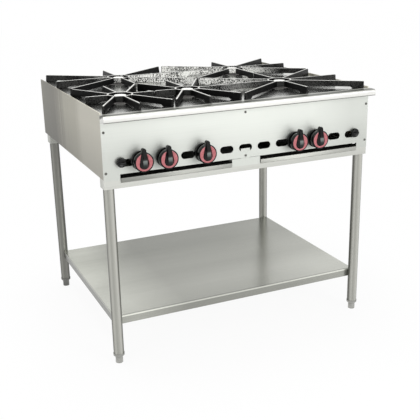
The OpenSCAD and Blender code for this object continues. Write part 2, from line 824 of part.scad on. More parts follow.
// Arm from the hub's corner at a given angle to the place (x, y) on the edge of the grate
module arm_to(angle, x, y) {
    from = [hub_r * cos(angle), hub_r * sin(angle)];
    gap = [x, y] - from;
    dir = gap / norm(gap);
    side = arm_base_t / 2;
    reach_x = abs(dir[0]) < 0.001 ? norm(gap) : (abs(gap[0]) - side * abs(dir[1])) / abs(dir[0]);
    reach_y = abs(dir[1]) < 0.001 ? norm(gap) : (abs(gap[1]) - side * abs(dir[0])) / abs(dir[1]);
    translate(from) rotate(atan2(gap[1], gap[0])) arm(min(reach_x, reach_y));
}

module grate(i) {
    x = (grate_w[i] - grate_gap) / 2;
    y = (row_d - grate_gap) / 2;
    wall = 2 * hub_r * sin(22.5);
    place() color("#2B2B2A") translate([burner_x[i], burner_y[i], deck_z]) {
        for (k = [0:7]) translate([hub_r * cos(45 * k), hub_r * sin(45 * k), 0])
            rotate(45 * k + 112.5) blade(wall, arm_raise + hub_step);
        arm_to(0, x, 0);
        arm_to(45, x, y);
        arm_to(90, 0, y);
        arm_to(135, -x, y);
        arm_to(180, -x, 0);
        arm_to(225, -x, -y);
        arm_to(270, 0, -y);
        arm_to(315, x, -y);
    }
}

left_side_panel();
right_side_panel();
back_panel();
front_panel();
nose_rail();
deck();
tray_divider();
panel_screws();
stand_rail(front_rail_y);  // front_stand_rail
stand_rail(rear_rail_y);  // rear_stand_rail
leg(-1, front_rail_y);  // leg_front_left
leg(1, front_rail_y);  // leg_front_right
leg(-1, rear_rail_y);  // leg_rear_left
leg(1, rear_rail_y);  // leg_rear_right
leg_collars();
foot(-1, front_rail_y);  // foot_front_left
foot(1, front_rail_y);  // foot_front_right
foot(-1, rear_rail_y);  // foot_rear_left
foot(1, rear_rail_y);  // foot_rear_right
undershelf();
shelf_stiffeners();
shelf_saddles();
burner_bars();
tray_runners();
gas_manifold();
manifold_brackets();
gas_inlet();
gas_valves();
air_shutters();
pilot_tubes();
burner(0);  // burner_front_left
burner(1);  // burner_front_mid
burner(2);  // burner_front_right
burner(3);  // burner_rear_left
burner(4);  // burner_rear_right
knob(0);  // knob_front_left
knob(1);  // knob_front_mid
knob(2);  // knob_front_right
knob(3);  // knob_rear_left
knob(4);  // knob_rear_right
ring(0);  // ring_front_left
ring(1);  // ring_front_mid
ring(2);  // ring_front_right
ring(3);  // ring_rear_left
ring(4);  // ring_rear_right
grate(0);  // grate_front_left
grate(1);  // grate_front_mid
grate(2);  // grate_front_right
grate(3);  // grate_rear_left
grate(4);  // grate_rear_right
pilot_knob(-1);  // pilot_knob_left
pilot_knob(1);  // pilot_knob_right
drip_tray(mouth_left);  // drip_tray_left
drip_tray(mouth_right);  // drip_tray_right
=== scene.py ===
"""Dresses a five-burner gas stove on a tube stand: steel sheet, castings, knobs, studio and camera.

Lengths are in metres. The knobs, rings and burner caps give theirs in millimetres and multiply by MM.
Y counts to the back, and FACE is where the front panel's face stands.
"""

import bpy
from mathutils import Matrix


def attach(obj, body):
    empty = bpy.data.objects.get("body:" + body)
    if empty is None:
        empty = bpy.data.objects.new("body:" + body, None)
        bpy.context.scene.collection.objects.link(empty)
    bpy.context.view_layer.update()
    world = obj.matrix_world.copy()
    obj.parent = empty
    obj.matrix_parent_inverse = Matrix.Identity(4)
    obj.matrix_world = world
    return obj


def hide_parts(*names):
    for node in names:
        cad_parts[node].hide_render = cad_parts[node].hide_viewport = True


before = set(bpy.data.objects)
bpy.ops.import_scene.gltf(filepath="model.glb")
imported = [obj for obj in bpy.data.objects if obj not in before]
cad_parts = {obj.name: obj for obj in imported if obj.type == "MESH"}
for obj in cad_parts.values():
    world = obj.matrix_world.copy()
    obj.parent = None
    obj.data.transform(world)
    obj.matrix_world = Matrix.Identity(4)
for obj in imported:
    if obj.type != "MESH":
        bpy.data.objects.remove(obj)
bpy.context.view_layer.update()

import logging
import math
from dataclasses import dataclass, field
from enum import Enum
from typing import Any, Callable

import bmesh
import bpy
from mathutils import Matrix, Vector

logging.basicConfig(level=logging.INFO, format="%(message)s")
log = logging.getLogger("stove")

Piece = bpy.types.Object
Material = bpy.types.Material
Tree = bpy.types.NodeTree
Node = bpy.types.Node
Socket = bpy.types.NodeSocket
Shape = bmesh.types.BMesh
Pair = tuple[float, float]
Triple = tuple[float, float, float]
# Outline of a section: sideways and up, in order.
Profile = list[Pair]
# Places on a colour ramp and their colours.
Tones = tuple[tuple[float, str], ...]
# A painted fade that dims or lifts a colour: its direction, where it starts and ends along it, and the factor at its
# end.
Fade = tuple[Triple, float, float, float]

cad_nodes: dict[str, Piece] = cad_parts

MM = 0.001
FACE = -413.5 * MM
KNOB_Z = 750.0 * MM
DECK_Z = 913.0 * MM
ALONG_X: Triple = (1.0, 0.0, 0.0)
ALONG_Y: Triple = (0.0, 1.0, 0.0)
ALONG_Z: Triple = (0.0, 0.0, 1.0)
TO_LEFT_REAR: Triple = (-1.0, 0.6, 0.0)
SIDES = (("left", -1), ("right", 1))


class Axis(Enum):
    """Direction of a grain or of a shaft."""

    X = 0
    Y = 1
    Z = 2


class Spot(Enum):
    """The five burner places."""

    FRONT_LEFT = "front_left"
    FRONT_MID = "front_mid"
    FRONT_RIGHT = "front_right"
    REAR_LEFT = "rear_left"
    REAR_RIGHT = "rear_right"


def linear(hex_colour: str) -> tuple[float, float, float, float]:
    """Turns an sRGB hex colour into the linear colour that a shader takes.

    Args:
        hex_colour: Six hex digits after a hash sign.

    Returns:
        Linear red, green, blue and an alpha of 1.
    """
    parts = [int(hex_colour[i : i + 2], 16) / 255 for i in (1, 3, 5)]
    turned = [c / 12.92 if c <= 0.04045 else ((c + 0.055) / 1.055) ** 2.4 for c in parts]
    return (turned[0], turned[1], turned[2], 1.0)


def add(tree: Tree, kind: str, inputs: dict[Any, Any] | None = None, **settings: Any) -> Node:
    """Adds one node to a tree.

    Args:
        tree: The shader or geometry tree.
        kind: Blender's name for the node's type.
        inputs: Socket name or number to a plain value, to the socket that feeds it, or to the node whose
            first output does.
        **settings: Properties of the node; stops fills a colour ramp with (place, hex colour) pairs.

    Returns:
        The new node.
    """
    made = tree.nodes.new(kind)
    for key, value in settings.items():
        if key == "stops":
            ramp = made.color_ramp.elements
            while len(ramp) < len(value):
                ramp.new(0.5)
            for stop, (place, colour) in zip(ramp, value):
                stop.position = place
                stop.color = linear(colour)
        else:
            setattr(made, key, value)
    for key, value in (inputs or {}).items():
        feed = value.outputs[0] if isinstance(value, Node) else value
        if isinstance(feed, Socket):
            tree.links.new(feed, made.inputs[key])
        else:
            made.inputs[key].default_value = feed
    return made


def new_material(name: str) -> tuple[Material, Tree, Socket]:
    """Starts a node material.

    Args:
        name: The real material, and how its surface was made.

    Returns:
        The material, its tree and the socket of its Object coordinates.
    """
    material = bpy.data.materials.new(name)
    material.use_nodes = True
    tree = material.node_tree
    tree.nodes.clear()
    return material, tree, add(tree, "ShaderNodeTexCoord").outputs["Object"]


def finish_shader(tree: Tree, inputs: dict[Any, Any]) -> None:
    """Ends a material's tree with its surface shader, which takes those inputs."""
    shader = add(tree, "ShaderNodeBsdfPrincipled", inputs)
    add(tree, "ShaderNodeOutputMaterial", {"Surface": shader})


def pair(low: str, high: str) -> Tones:
    """Tones from one colour to another."""
    return ((0.0, low), (1.0, high))


@dataclass(frozen=True)
class BrushedSteel:
    """Cold-rolled stainless sheet, drawn under a belt: long fine lines and soft bands across them.

    The tones run along the tilt, and each fade dims or lifts them towards an edge or below a fold; where set, both
    paint light and shade into the sheet.
    """

    name: str
    tones: Tones
    grain: Axis
    metallic: float = 0.75
    roughness: float = 0.34
    line_mm: float = 2.2
    band_mm: float = 170.0
    relief: float = 0.12
    tilt: Triple = (0.0, 0.0, 0.0)
    level: Pair = (0.4, 0.9)
    sway: float = 1.0
    fades: tuple[Fade, ...] = ()
    line_share: float = 0.3
    line_length_mm: float = 420.0
    band_length_mm: float = 3000.0

    def scales(self, across_mm: float, along_mm: float) -> Triple:
        """Turns the sizes of a drawn-out pattern into scales.

        Args:
            across_mm: Its size across the grain.
            along_mm: Its size along the grain.

        Returns:
            Repeats a metre along X, Y and Z.
        """
        values = [1000 / across_mm] * 3
        values[self.grain.value] = 1000 / along_mm
        return (values[0], values[1], values[2])

    def build(self) -> Material:
        """Builds the sheet; real lines lie 0.3 mm apart and are drawn wider, so that they show.

        Returns:
            The sheet's material.
        """
        material, tree, place = new_material(self.name)
        fine, broad = self.scales(self.line_mm, self.line_length_mm), self.scales(self.band_mm, self.band_length_mm)
        lines = add(tree, "ShaderNodeMapping", {"Vector": place, "Scale": fine})
        bands = add(tree, "ShaderNodeMapping", {"Vector": place, "Scale": broad})
        line = add(tree, "ShaderNodeTexNoise", {"Vector": lines, "Scale": 1.0, "Detail": 3.0, "Roughness": 0.7})
        band = add(tree, "ShaderNodeTexNoise", {"Vector": bands, "Scale": 1.0, "Detail": 1.5})
        lean = add(tree, "ShaderNodeVectorMath", {0: place, 1: self.tilt}, operation="DOT_PRODUCT")
        swayed = {0: band, 1: self.sway, 2: lean.outputs["Value"]}
        base = add(tree, "ShaderNodeMath", swayed, operation="MULTIPLY_ADD")
        both = add(tree, "ShaderNodeMath", {0: line, 1: self.line_share, 2: base}, operation="MULTIPLY_ADD")
        low, high = self.level
        share = add(tree, "ShaderNodeMapRange", {"Value": both, "From Min": low, "From Max": high})
        colour = add(tree, "ShaderNodeValToRGB", {"Fac": share}, stops=self.tones).outputs[0]
        for direction, start, end, factor in self.fades:
            reach = add(tree, "ShaderNodeVectorMath", {0: place, 1: direction}, operation="DOT_PRODUCT")
            span = {"From Min": start, "From Max": end, "To Min": 1.0, "To Max": factor}
            fade = add(tree, "ShaderNodeMapRange", {"Value": reach.outputs["Value"], **span})
            mixed = {0: 1.0, 6: colour, 7: fade}
            colour = add(tree, "ShaderNodeMix", mixed, data_type="RGBA", blend_type="MULTIPLY").outputs[2]
        gloss = {"To Min": self.roughness - 0.06, "To Max": self.roughness + 0.08}
        rough = add(tree, "ShaderNodeMapRange", {"Value": line, **gloss})
        bump = add(tree, "ShaderNodeBump", {"Strength": self.relief, "Distance": 0.2 * MM, "Height": line})
        inputs = {"Base Color": colour, "Roughness": rough, "Metallic": self.metallic, "Normal": bump}
        finish_shader(tree, inputs)
        return material


@dataclass(frozen=True)
class PolishedSteel:
    """Mirror-polished or plated steel with faint wiping marks; it shows what stands on it."""

    name: str
    low: str
    high: str
    roughness: float
    mark_mm: float = 62.5

    def build(self) -> Material:
        """Builds the sheet, with its wiping marks.

        Returns:
            The sheet's material.
        """
        material, tree, place = new_material(self.name)
        marks = {"Vector": place, "Scale": 1000 / self.mark_mm, "Detail": 4.0, "Distortion": 0.8}
        wipe = add(tree, "ShaderNodeTexNoise", marks)
        colour = add(tree, "ShaderNodeValToRGB", {"Fac": wipe}, stops=((0.3, self.low), (0.75, self.high)))
        gloss = {"To Min": self.roughness - 0.03, "To Max": self.roughness + 0.08}
        rough = add(tree, "ShaderNodeMapRange", {"Value": wipe, **gloss})
        finish_shader(tree, {"Base Color": colour, "Roughness": rough, "Metallic": 1.0})
        return material


@dataclass(frozen=True)
class FoldedSteel:
    """Bright sheet folded lengthwise, with painted shade: the two bends of its front band are painted darker than the
    band, and its top greyer.
    """

    name: str
    bottom: float
    top: float
    front: float
    # Painted shade up the band: dark bends, a white band and a greyer top.
    bend_shade: Tones
    lean: float = 0.33
    line_mm: float = 2.0
    line_length_mm: float = 333.3

    def build(self) -> Material:
        """Builds the sheet; its painted shade runs in bands up the front face and on over the top, a third as steep
        there.

        Returns:
            The sheet's material, with its fine lines drawn coarser than they are, so that they show.
        """
        material, tree, place = new_material(self.name)
        fine = (1000 / self.line_length_mm, 1000 / self.line_mm, 1000 / self.line_mm)
        lines = add(tree, "ShaderNodeMapping", {"Vector": place, "Scale": fine})
        line = add(tree, "ShaderNodeTexNoise", {"Vector": lines, "Scale": 1.0, "Detail": 3.0})
        climb = add(tree, "ShaderNodeVectorMath", {0: place, 1: (0.0, self.lean, 1.0)}, operation="DOT_PRODUCT")
        start = self.lean * self.front
        span = {"From Min": self.bottom + start, "From Max": self.top + start}
        height = add(tree, "ShaderNodeMapRange", {"Value": climb.outputs["Value"], **span})
        # The height up the band, with a little of the fine lines, picks the painted shade.
        painted_light = add(tree, "ShaderNodeMath", {0: line, 1: 0.02, 2: height}, operation="MULTIPLY_ADD")
        colour = add(tree, "ShaderNodeValToRGB", {"Fac": painted_light}, stops=self.bend_shade)
        rough = add(tree, "ShaderNodeMapRange", {"Value": line, "To Min": 0.28, "To Max": 0.42})
        finish_shader(tree, {"Base Color": colour, "Roughness": rough, "Metallic": 0.6})
        return material


@dataclass(frozen=True)
class TubeSteel:
    """Polished steel tube with painted reflections: its colour runs in light and dark bands along it, set round the
    tube.
    """

    name: str
    centre: Pair
    # Painted shade over the whole tube: the share of its colour that it keeps.
    shade: float = 1.0
    # Painted reflections: a colour at each share of a turn round the tube.
    bands: Tones = (
        (0.02, "#62625D"), (0.055, "#70706A"), (0.095, "#ACACA5"), (0.14, "#B8B8B1"), (0.2, "#9E9E97"),
        (0.27, "#B0B0A9"), (0.33, "#C0C0B9"), (0.365, "#96968F"), (0.39, "#6A6A64"), (0.48, "#62625C"),
        (0.57, "#9A9A93"), (0.77, "#A8A8A1"), (0.92, "#6E6E68"),
    )
    line_mm: float = 2.0
    line_length_mm: float = 333.3

    def build(self) -> Material:
        """Builds the tube; its painted reflections are set by the angle round its own middle line.

        Returns:
            The tube's material, with its fine lines drawn coarser than they are, so that they show.
        """
        material, tree, place = new_material(self.name)
        middle = (-self.centre[0], -self.centre[1], 0.0)
        own = add(tree, "ShaderNodeMapping", {"Vector": place, "Location": middle})
        turn = add(tree, "ShaderNodeTexGradient", {"Vector": own}, gradient_type="RADIAL")
        fine = (1000 / self.line_mm, 1000 / self.line_mm, 1000 / self.line_length_mm)
        lines = add(tree, "ShaderNodeMapping", {"Vector": place, "Scale": fine})
        line = add(tree, "ShaderNodeTexNoise", {"Vector": lines, "Scale": 1.0, "Detail": 2.0})
        wavy = {0: line, 1: 0.04, 2: turn.outputs["Fac"]}
        both = add(tree, "ShaderNodeMath", wavy, operation="MULTIPLY_ADD")
        colour = add(tree, "ShaderNodeValToRGB", {"Fac": both}, stops=self.bands)
        mixed = {0: 1.0, 6: colour, 7: (self.shade, self.shade, self.shade, 1.0)}
        shaded = add(tree, "ShaderNodeMix", mixed, data_type="RGBA", blend_type="MULTIPLY")
        finish_shader(tree, {"Base Color": shaded.outputs[2], "Roughness": 0.38, "Metallic": 0.6})
        return material


@dataclass(frozen=True)
class CastIron:
    """Sand-cast iron under black enamel: grains of 1 to 2 mm that catch the light one by one; it can take painted
    highlights on its tops and fronts.
    """

    name: str
    low: str
    high: str
    grain_mm: float = 2.4
    roughness: float = 0.36
    depth: float = 1.1 * MM
    # Whether the casting takes painted highlights, and the colours of its painted top sheen and painted glints.
    painted_light: bool = False
    painted_top_sheen: str = "#D2D2CE"
    painted_glint_colour: str = "#F0F0EC"
    # How far a face has to look up, or along front, before it takes the painted highlight.
    top_slope: Pair = (0.72, 0.95)
    front_slope: Pair = (0.85, 0.91)
    front: Triple = (-0.334, -0.943, 0.0)
    # The middle of the painted glints, and the distances from it over which they thin out.
    used: Triple = (0.03, 0.16, DECK_Z)
    used_reach: Pair = (0.26, 0.4)
    # Sum of the noises at which a painted glint starts, and at which it is full.
    glint_level: Pair = (1.25, 1.42)
    gloss_mm: float = 33.33
    patch_mm: float = 111.1
    fleck_mm: float = 4.545

    def wear(self, tree: Tree, place: Socket, grain: Node) -> tuple[Node, Node]:
        """Painted highlights: a pale sheen all over the tops, and pale glints in specks on the faces that look to the
        front.

        Args:
            tree: The material's tree.
            place: Its Object coordinates.
            grain: Its fine grain.

        Returns:
            Two nodes that give 0 to 1: painted sheen on the tops and painted glints on the fronts.
        """
        normal = place.node.outputs["Normal"]
        upright = add(tree, "ShaderNodeSeparateXYZ", {"Vector": normal}).outputs["Z"]
        facing = add(tree, "ShaderNodeVectorMath", {0: normal, 1: self.front}, operation="DOT_PRODUCT")
        away = add(tree, "ShaderNodeVectorMath", {0: place, 1: self.used}, operation="DISTANCE")
        patches = {"Vector": place, "Scale": 1000 / self.patch_mm, "Detail": 1.0}
        cloud = add(tree, "ShaderNodeTexNoise", patches)
        chips = {"Vector": place, "Scale": 1000 / self.fleck_mm, "Detail": 1.0}
        fleck = add(tree, "ShaderNodeTexNoise", chips)
        both = add(tree, "ShaderNodeMath", {0: fleck, 1: grain}, operation="ADD")
        sway = add(tree, "ShaderNodeMath", {0: cloud, 1: 0.7, 2: both}, operation="MULTIPLY_ADD")
        ranges = []
        for value, (start, end), (first, last) in (
            (upright, self.top_slope, (0.0, 1.0)),
            (facing.outputs["Value"], self.front_slope, (0.0, 1.0)),
            (away.outputs["Value"], self.used_reach, (1.0, 0.04)),
            (sway, self.glint_level, (0.0, 1.0)),
        ):
            span = {"From Min": start, "From Max": end, "To Min": first, "To Max": last}
            ranges.append(add(tree, "ShaderNodeMapRange", {"Value": value, **span}))
        tops, front, fade, glint = ranges
        there = add(tree, "ShaderNodeMath", {0: front, 1: fade}, operation="MULTIPLY")
        return tops, add(tree, "ShaderNodeMath", {0: there, 1: glint}, operation="MULTIPLY")

    def build(self) -> Material:
        """Builds the casting; its grain is drawn a little coarse, so that it shows.

        Returns:
            The casting's material.
        """
        material, tree, place = new_material(self.name)
        sand = {"Vector": place, "Scale": 1000 / self.grain_mm, "Detail": 2.5, "Roughness": 0.65}
        grain = add(tree, "ShaderNodeTexNoise", sand)
        patches = {"Vector": place, "Scale": 1000 / self.gloss_mm, "Detail": 2.0}
        cloud = add(tree, "ShaderNodeTexNoise", patches)
        colour = add(tree, "ShaderNodeValToRGB", {"Fac": grain}, stops=((0.3, self.low), (0.75, self.high)))
        gloss = {"To Min": self.roughness - 0.1, "To Max": self.roughness + 0.12}
        rough = add(tree, "ShaderNodeMapRange", {"Value": cloud, **gloss})
        bump = add(tree, "ShaderNodeBump", {"Strength": 0.55, "Distance": self.depth, "Height": grain})
        inputs = {"Base Color": colour, "Roughness": rough, "Normal": bump}
        # Painted highlights: pale metal over the tops and pale glints on the fronts.
        if self.painted_light:
            tops, glints = self.wear(tree, place, grain)
            skin = add(tree, "ShaderNodeMix", {0: glints, 6: colour, 7: linear(self.painted_glint_colour)}, data_type="RGBA")
            sheened = {0: tops, 6: skin.outputs[2], 7: linear(self.painted_top_sheen)}
            inputs["Base Color"] = add(tree, "ShaderNodeMix", sheened, data_type="RGBA").outputs[2]
            inputs["Metallic"] = tops
            inputs["Specular IOR Level"] = 0.1
        finish_shader(tree, inputs)
        return material


@dataclass(frozen=True)
class Moulded:
    """Smooth coat with a faint ripple: plastic out of a polished mould, or sprayed paint."""

    name: str
    low: str
    high: str
    roughness: float
    ripple_mm: float = 6.0
    metallic: float = 0.0
    specular: float = 0.5

    def build(self) -> Material:
        """Builds the coat, with a ripple of a few millimetres in its gloss and height.

        Returns:
            The coat's material.
        """
        material, tree, place = new_material(self.name)
        waves = {"Vector": place, "Scale": 1000 / self.ripple_mm, "Detail": 2.0}
        ripple = add(tree, "ShaderNodeTexNoise", waves)
        colour = add(tree, "ShaderNodeValToRGB", {"Fac": ripple}, stops=((0.3, self.low), (0.7, self.high)))
        gloss = {"To Min": self.roughness - 0.05, "To Max": self.roughness + 0.07}
        rough = add(tree, "ShaderNodeMapRange", {"Value": ripple, **gloss})
        bump = add(tree, "ShaderNodeBump", {"Strength": 0.08, "Distance": 0.5 * MM, "Height": ripple})
        inputs = {"Base Color": colour, "Roughness": rough, "Metallic": self.metallic, "Normal": bump}
        finish_shader(tree, {**inputs, "Specular IOR Level": self.specular})
        return material


@dataclass(frozen=True)
class PaintedHighlightPhenolic:
    """Phenolic plastic with a painted highlight: dull grey on the grip's crown, and black again away from it."""

    name: str
    reach: float
    tones: Tones

    def build(self) -> Material:
        """Builds the plastic; its painted highlight runs by height, from one reach below a knob's middle to one
        above.

        Returns:
            The plastic's material.
        """
        material, tree, place = new_material(self.name)
        upright = add(tree, "ShaderNodeSeparateXYZ", {"Vector": place}).outputs["Z"]
        span = {"From Min": KNOB_Z - self.reach, "From Max": KNOB_Z + self.reach}
        height = add(tree, "ShaderNodeMapRange", {"Value": upright, **span})
        colour = add(tree, "ShaderNodeValToRGB", {"Fac": height}, stops=self.tones)
        finish_shader(tree, {"Base Color": colour, "Roughness": 0.3, "Specular IOR Level": 0.08})
        return material


class Look(Enum):
    """Every finish of the stove, by the piece that wears it."""

    # Brushed upright with painted shade: duller to the rear and to the bottom, with one clear step near its middle.
    SIDE = BrushedSteel(
        "side_brushed_steel",
        (
            (0.0, "#868478"), (0.2, "#75736A"), (0.4, "#726F66"), (0.46, "#A4A194"),
            (0.58, "#A7A497"), (0.65, "#BBB8AC"), (1.0, "#C0BDB1"),
        ),
        Axis.Z, roughness=0.42, band_mm=300, tilt=(0.0, -0.72, 0.0), level=(-0.05, 0.75), sway=0.4,
        fades=((ALONG_Z, 0.86, 0.7, 0.68),),
    )
    # Rolled and left as it comes: even and matt.
    BACK = BrushedSteel("back_rolled_steel", pair("#A5A49F", "#B9B8B3"), Axis.X, roughness=0.42)
    # Brushed along and wiped clean: pale and even, with painted light and shade that make it a little duller at both
    # ends and paler towards the top.
    PANEL = BrushedSteel(
        "panel_brushed_steel", pair("#CBCEC8", "#D7DAD4"), Axis.X, metallic=0.55, roughness=0.4, band_mm=260,
        tilt=(0.06, 0.0, 1.2), level=(1.42, 1.66),
        fades=((ALONG_X, 0.28, 0.45, 0.85), (ALONG_X, -0.3, -0.5, 0.94)),
    )
    # Folded bright sheet: a white band between two bends in painted shade, under a top painted greyer.
    NOSE = FoldedSteel(
        "nose_folded_steel", 892 * MM, 930 * MM, FACE - 43.5 * MM,
        (
            (0.0, "#5F605B"), (0.06, "#6E6F6A"), (0.1, "#CFCFCB"), (0.2, "#DADAD6"), (0.53, "#E2E2DE"),
            (0.62, "#8E8F89"), (0.67, "#4C4D47"), (0.82, "#4C4D47"), (0.88, "#A0A19B"), (1.0, "#B4B5AF"),
        ),
    )
    # Satin channel of the stand: an even pale grey with a soft shine.
    RAIL = BrushedSteel("rail_satin_steel", pair("#A9AAA4", "#CBCCC6"), Axis.X, roughness=0.38)
    # Painted shade inside the casing: a dull black sheet with no shine.
    INNER = Moulded("inner_painted_shade", "#1C1C1B", "#2A2A28", 0.7, 8.0)
    # Satin shelf that mirrors softly, with painted light and shade: pale at its ends, darker to the rear, a painted
    # shadow line before and under its fold and a painted highlight on it.
    SHELF = BrushedSteel(
        "shelf_satin_steel", pair("#5B5D54", "#C8C9C1"), Axis.X, roughness=0.22, line_mm=3.0, band_mm=420,
        relief=0.02, tilt=(0.1, -0.9, 0.0), level=(0.1, 1.1),
        fades=(
            (ALONG_X, -0.22, -0.42, 1.5), (ALONG_X, 0.2, 0.4, 1.12), (ALONG_Y, -0.05, -0.3, 0.92),
            (ALONG_Y, 0.12, 0.35, 0.78), (TO_LEFT_REAR, 0.39, 0.62, 1.5), (ALONG_Y, -0.366, -0.372, 0.6),
            (ALONG_Y, -0.3735, -0.3755, 1.667), (ALONG_Z, 0.1727, 0.1721, 1.35), (ALONG_Z, 0.168, 0.1665, 0.48),
            (ALONG_X, -0.505, -0.507, 0.5),
        ),
    )
    # Rolled thin sheet of the trays' lips, with painted light that makes it paler to the right.
    TRAY = BrushedSteel(
        "tray_rolled_steel", pair("#5E5F5A", "#A9AAA4"), Axis.X, roughness=0.4, tilt=(0.7, 0.0, 0.0), level=(0.1, 1.1)
    )
    # The trays' insides, in painted shade: black behind the lip, lighter to the rear.
    TRAY_INSIDE = BrushedSteel(
        "tray_inside_painted_shade", ((0.0, "#1A1A19"), (0.4, "#262624"), (1.0, "#85867F")), Axis.X, metallic=0.4,
        roughness=0.5, tilt=(0.0, 5.0, 0.0), level=(-1.35, -0.55),
    )
    # Turned from bar: fine rings and a soft shine, with painted shade that dulls the rear feet.
    FOOT = BrushedSteel(
        "foot_turned_steel", pair("#8F8F8B", "#B5B5B0"), Axis.X, roughness=0.32, line_mm=1.5, band_mm=20,
        fades=((ALONG_Y, 0.0, 0.3, 0.45),),
    )
    # Polished under the grates, so that their arms show in it.
    DECK = PolishedSteel("deck_polished_steel", "#B0B1AD", "#D8D9D5", 0.16)
    # Zinc-plated and handled: dull grey heads.
    SCREW = PolishedSteel("screw_plated_steel", "#5E5E5A", "#83837E", 0.3)
    # Machined cap: bright and nearly white, with a half-matt face.
    CAP = Moulded("burner_cap_machined", "#D8D8D3", "#F0F0EC", 0.35, 3.0, 0.25)
    # Black enamel with painted highlights: pale metal on its tops, and pale glints in specks on the fronts, thinning
    # away from one place.
    GRATE = CastIron("grate_cast_iron", "#030303", "#0C0C0C", painted_light=True)
    # Bare sand casting, brown with heat: rough and matt.
    BURNER = CastIron("burner_cast_iron", "#2C2A28", "#4C4946", 1.6, 0.5, 0.6 * MM)
    # Hard black plastic with a soft shine.
    KNOB = Moulded("knob_phenolic", "#080909", "#0F1010", 0.2, specular=0.25)
    # The same plastic, with a painted highlight: grey on the crown of the grip.
    RUBBED = PaintedHighlightPhenolic(
        "knob_grip_painted_highlight", 48.0 * MM,
        (
            (0.26, "#1A1C1B"), (0.42, "#323534"), (0.5, "#6B706E"),
            (0.57, "#7C817F"), (0.61, "#2A2C2B"), (0.66, "#060606"),
        ),
    )
    # Sprayed red lacquer, faded by heat: a dusty red with a low shine.
    RING = Moulded("ring_red_lacquer", "#AF5C60", "#C3757A", 0.34, 9.0)
    # Black paint over pipe: half matt, with the brush's ripple.
    PIPE = Moulded("pipe_black_paint", "#1F1F1F", "#2C2C2B", 0.5, 5.0)
    # Turned brass gone brown in the heat: a dull metal shine.
    BRASS = Moulded("valve_tarnished_brass", "#5C4C2C", "#7A683C", 0.45, 4.0, 1.0)
    # Drawn aluminium: pale, half matt.
    DRAWN = Moulded("pilot_drawn_aluminium", "#A9AAA6", "#BDBEBA", 0.36, 3.0, 1.0)
    # Painted shade for the flame ports and the screws' crosses: a black that swallows the light.
    DARK = Moulded("port_painted_shade", "#060606", "#0D0D0D", 0.8, 2.0)


def linked(name: str, data: bpy.types.ID) -> Piece:
    """Puts a new object into the scene.

    Args:
        name: The object's name.
        data: Its mesh, light or camera.

    Returns:
        The object, at the origin.
    """
    made = bpy.data.objects.new(name, data)
    bpy.context.scene.collection.objects.link(made)
    return made


def realised(work: Piece, name: str) -> Piece:
    """Turns an object with live modifiers into a plain mesh object and removes the old one.

    Args:
        work: The object with its modifiers.
        name: The new piece's name.

    Returns:
        The plain object, at the origin, unturned and unscaled.
    """
    bpy.context.view_layer.update()
    graph = bpy.context.evaluated_depsgraph_get()
    mesh = bpy.data.meshes.new_from_object(work.evaluated_get(graph))
    mesh.name = name
    bpy.data.objects.remove(work)
    return linked(name, mesh)


def from_bmesh(shape: Shape, name: str) -> Piece:
    """Turns a finished shape into an object.

    Args:
        shape: The shape, which is used up.
        name: The new piece's name.

    Returns:
        The plain object.
    """
    mesh = bpy.data.meshes.new(name)
    shape.to_mesh(mesh)
    shape.free()
    return linked(name, mesh)


def merged_copy(node: str) -> Shape:
    """Copies a CAD node's mesh, with its loose triangles merged and its flat faces joined.

    Args:
        node: The CAD node.

    Returns:
        The copy.
    """
    shape = bmesh.new()
    shape.from_mesh(cad_nodes[node].data)
    bmesh.ops.remove_doubles(shape, verts=shape.verts, dist=0.01 * MM)
    bmesh.ops.dissolve_limit(shape, angle_limit=math.radians(0.5), verts=shape.verts, edges=shape.edges)
    return shape


def smooth_by_angle(piece: Piece, degrees: float) -> None:
    """Shades a piece smooth, with sharp edges where its faces meet at more than an angle.

    Args:
        piece: The piece.
        degrees: The angle.
    """
    shape = bmesh.new()
    shape.from_mesh(piece.data)
    for face in shape.faces:
        face.smooth = True
    for edge in shape.edges:
        edge.smooth = len(edge.link_faces) == 2 and edge.calc_face_angle(0.0) < math.radians(degrees)
    shape.to_mesh(piece.data)
    shape.free()


def between(first: Pair, second: Pair, share: float) -> Pair:
    """Point at a share of the way between two points."""
    return (first[0] + (second[0] - first[0]) * share, first[1] + (second[1] - first[1]) * share)


def drop_outline(big: float, small: float, reach: float) -> Profile:
    """Outline of two circles and their tangents, always with the same number of points.

    Args:
        big: Radius of the circle at the origin.
        small: Radius of the circle above it.
        reach: Distance between the two middles.

    Returns:
        Points (sideways, up), clockwise.
    """
    round_steps, tip_steps, side_steps = 44, 12, 8
    rise = math.asin((big - small) / reach)
    low = [rise - (math.pi + 2 * rise) * k / round_steps for k in range(round_steps + 1)]
    high = [math.pi - rise - (math.pi - 2 * rise) * k / tip_steps for k in range(tip_steps + 1)]
    points = [(big * math.cos(a), big * math.sin(a)) for a in low]
    ends = [(small * math.cos(a), reach + small * math.sin(a)) for a in high]
    left = [between(points[-1], ends[0], k / side_steps) for k in range(1, side_steps)]
    right = [between(ends[-1], points[0], k / side_steps) for k in range(1, side_steps)]
    return points + left + ends + right


def circle(radius: float, count: int) -> Profile:
    """Circle round the origin, with its points in order."""
    turns = [2 * math.pi * k / count for k in range(count)]
    return [(radius * math.cos(a), radius * math.sin(a)) for a in turns]


def skin(shape: Shape, rings: list[list[bmesh.types.BMVert]]) -> None:
    """Joins rings of points into one closed skin, with its faces outwards.

    Args:
        shape: Mesh that holds the points and gets the skin.
        rings: Rings with the same number of points, in order.
    """
    faces = [shape.faces.new(rings[0]), shape.faces.new(rings[-1][::-1])]
    for first, second in zip(rings, rings[1:]):
        for k in range(len(first)):
            n = (k + 1) % len(first)
            faces.append(shape.faces.new((first[k], first[n], second[n], second[k])))
    bmesh.ops.recalc_face_normals(shape, faces=faces)


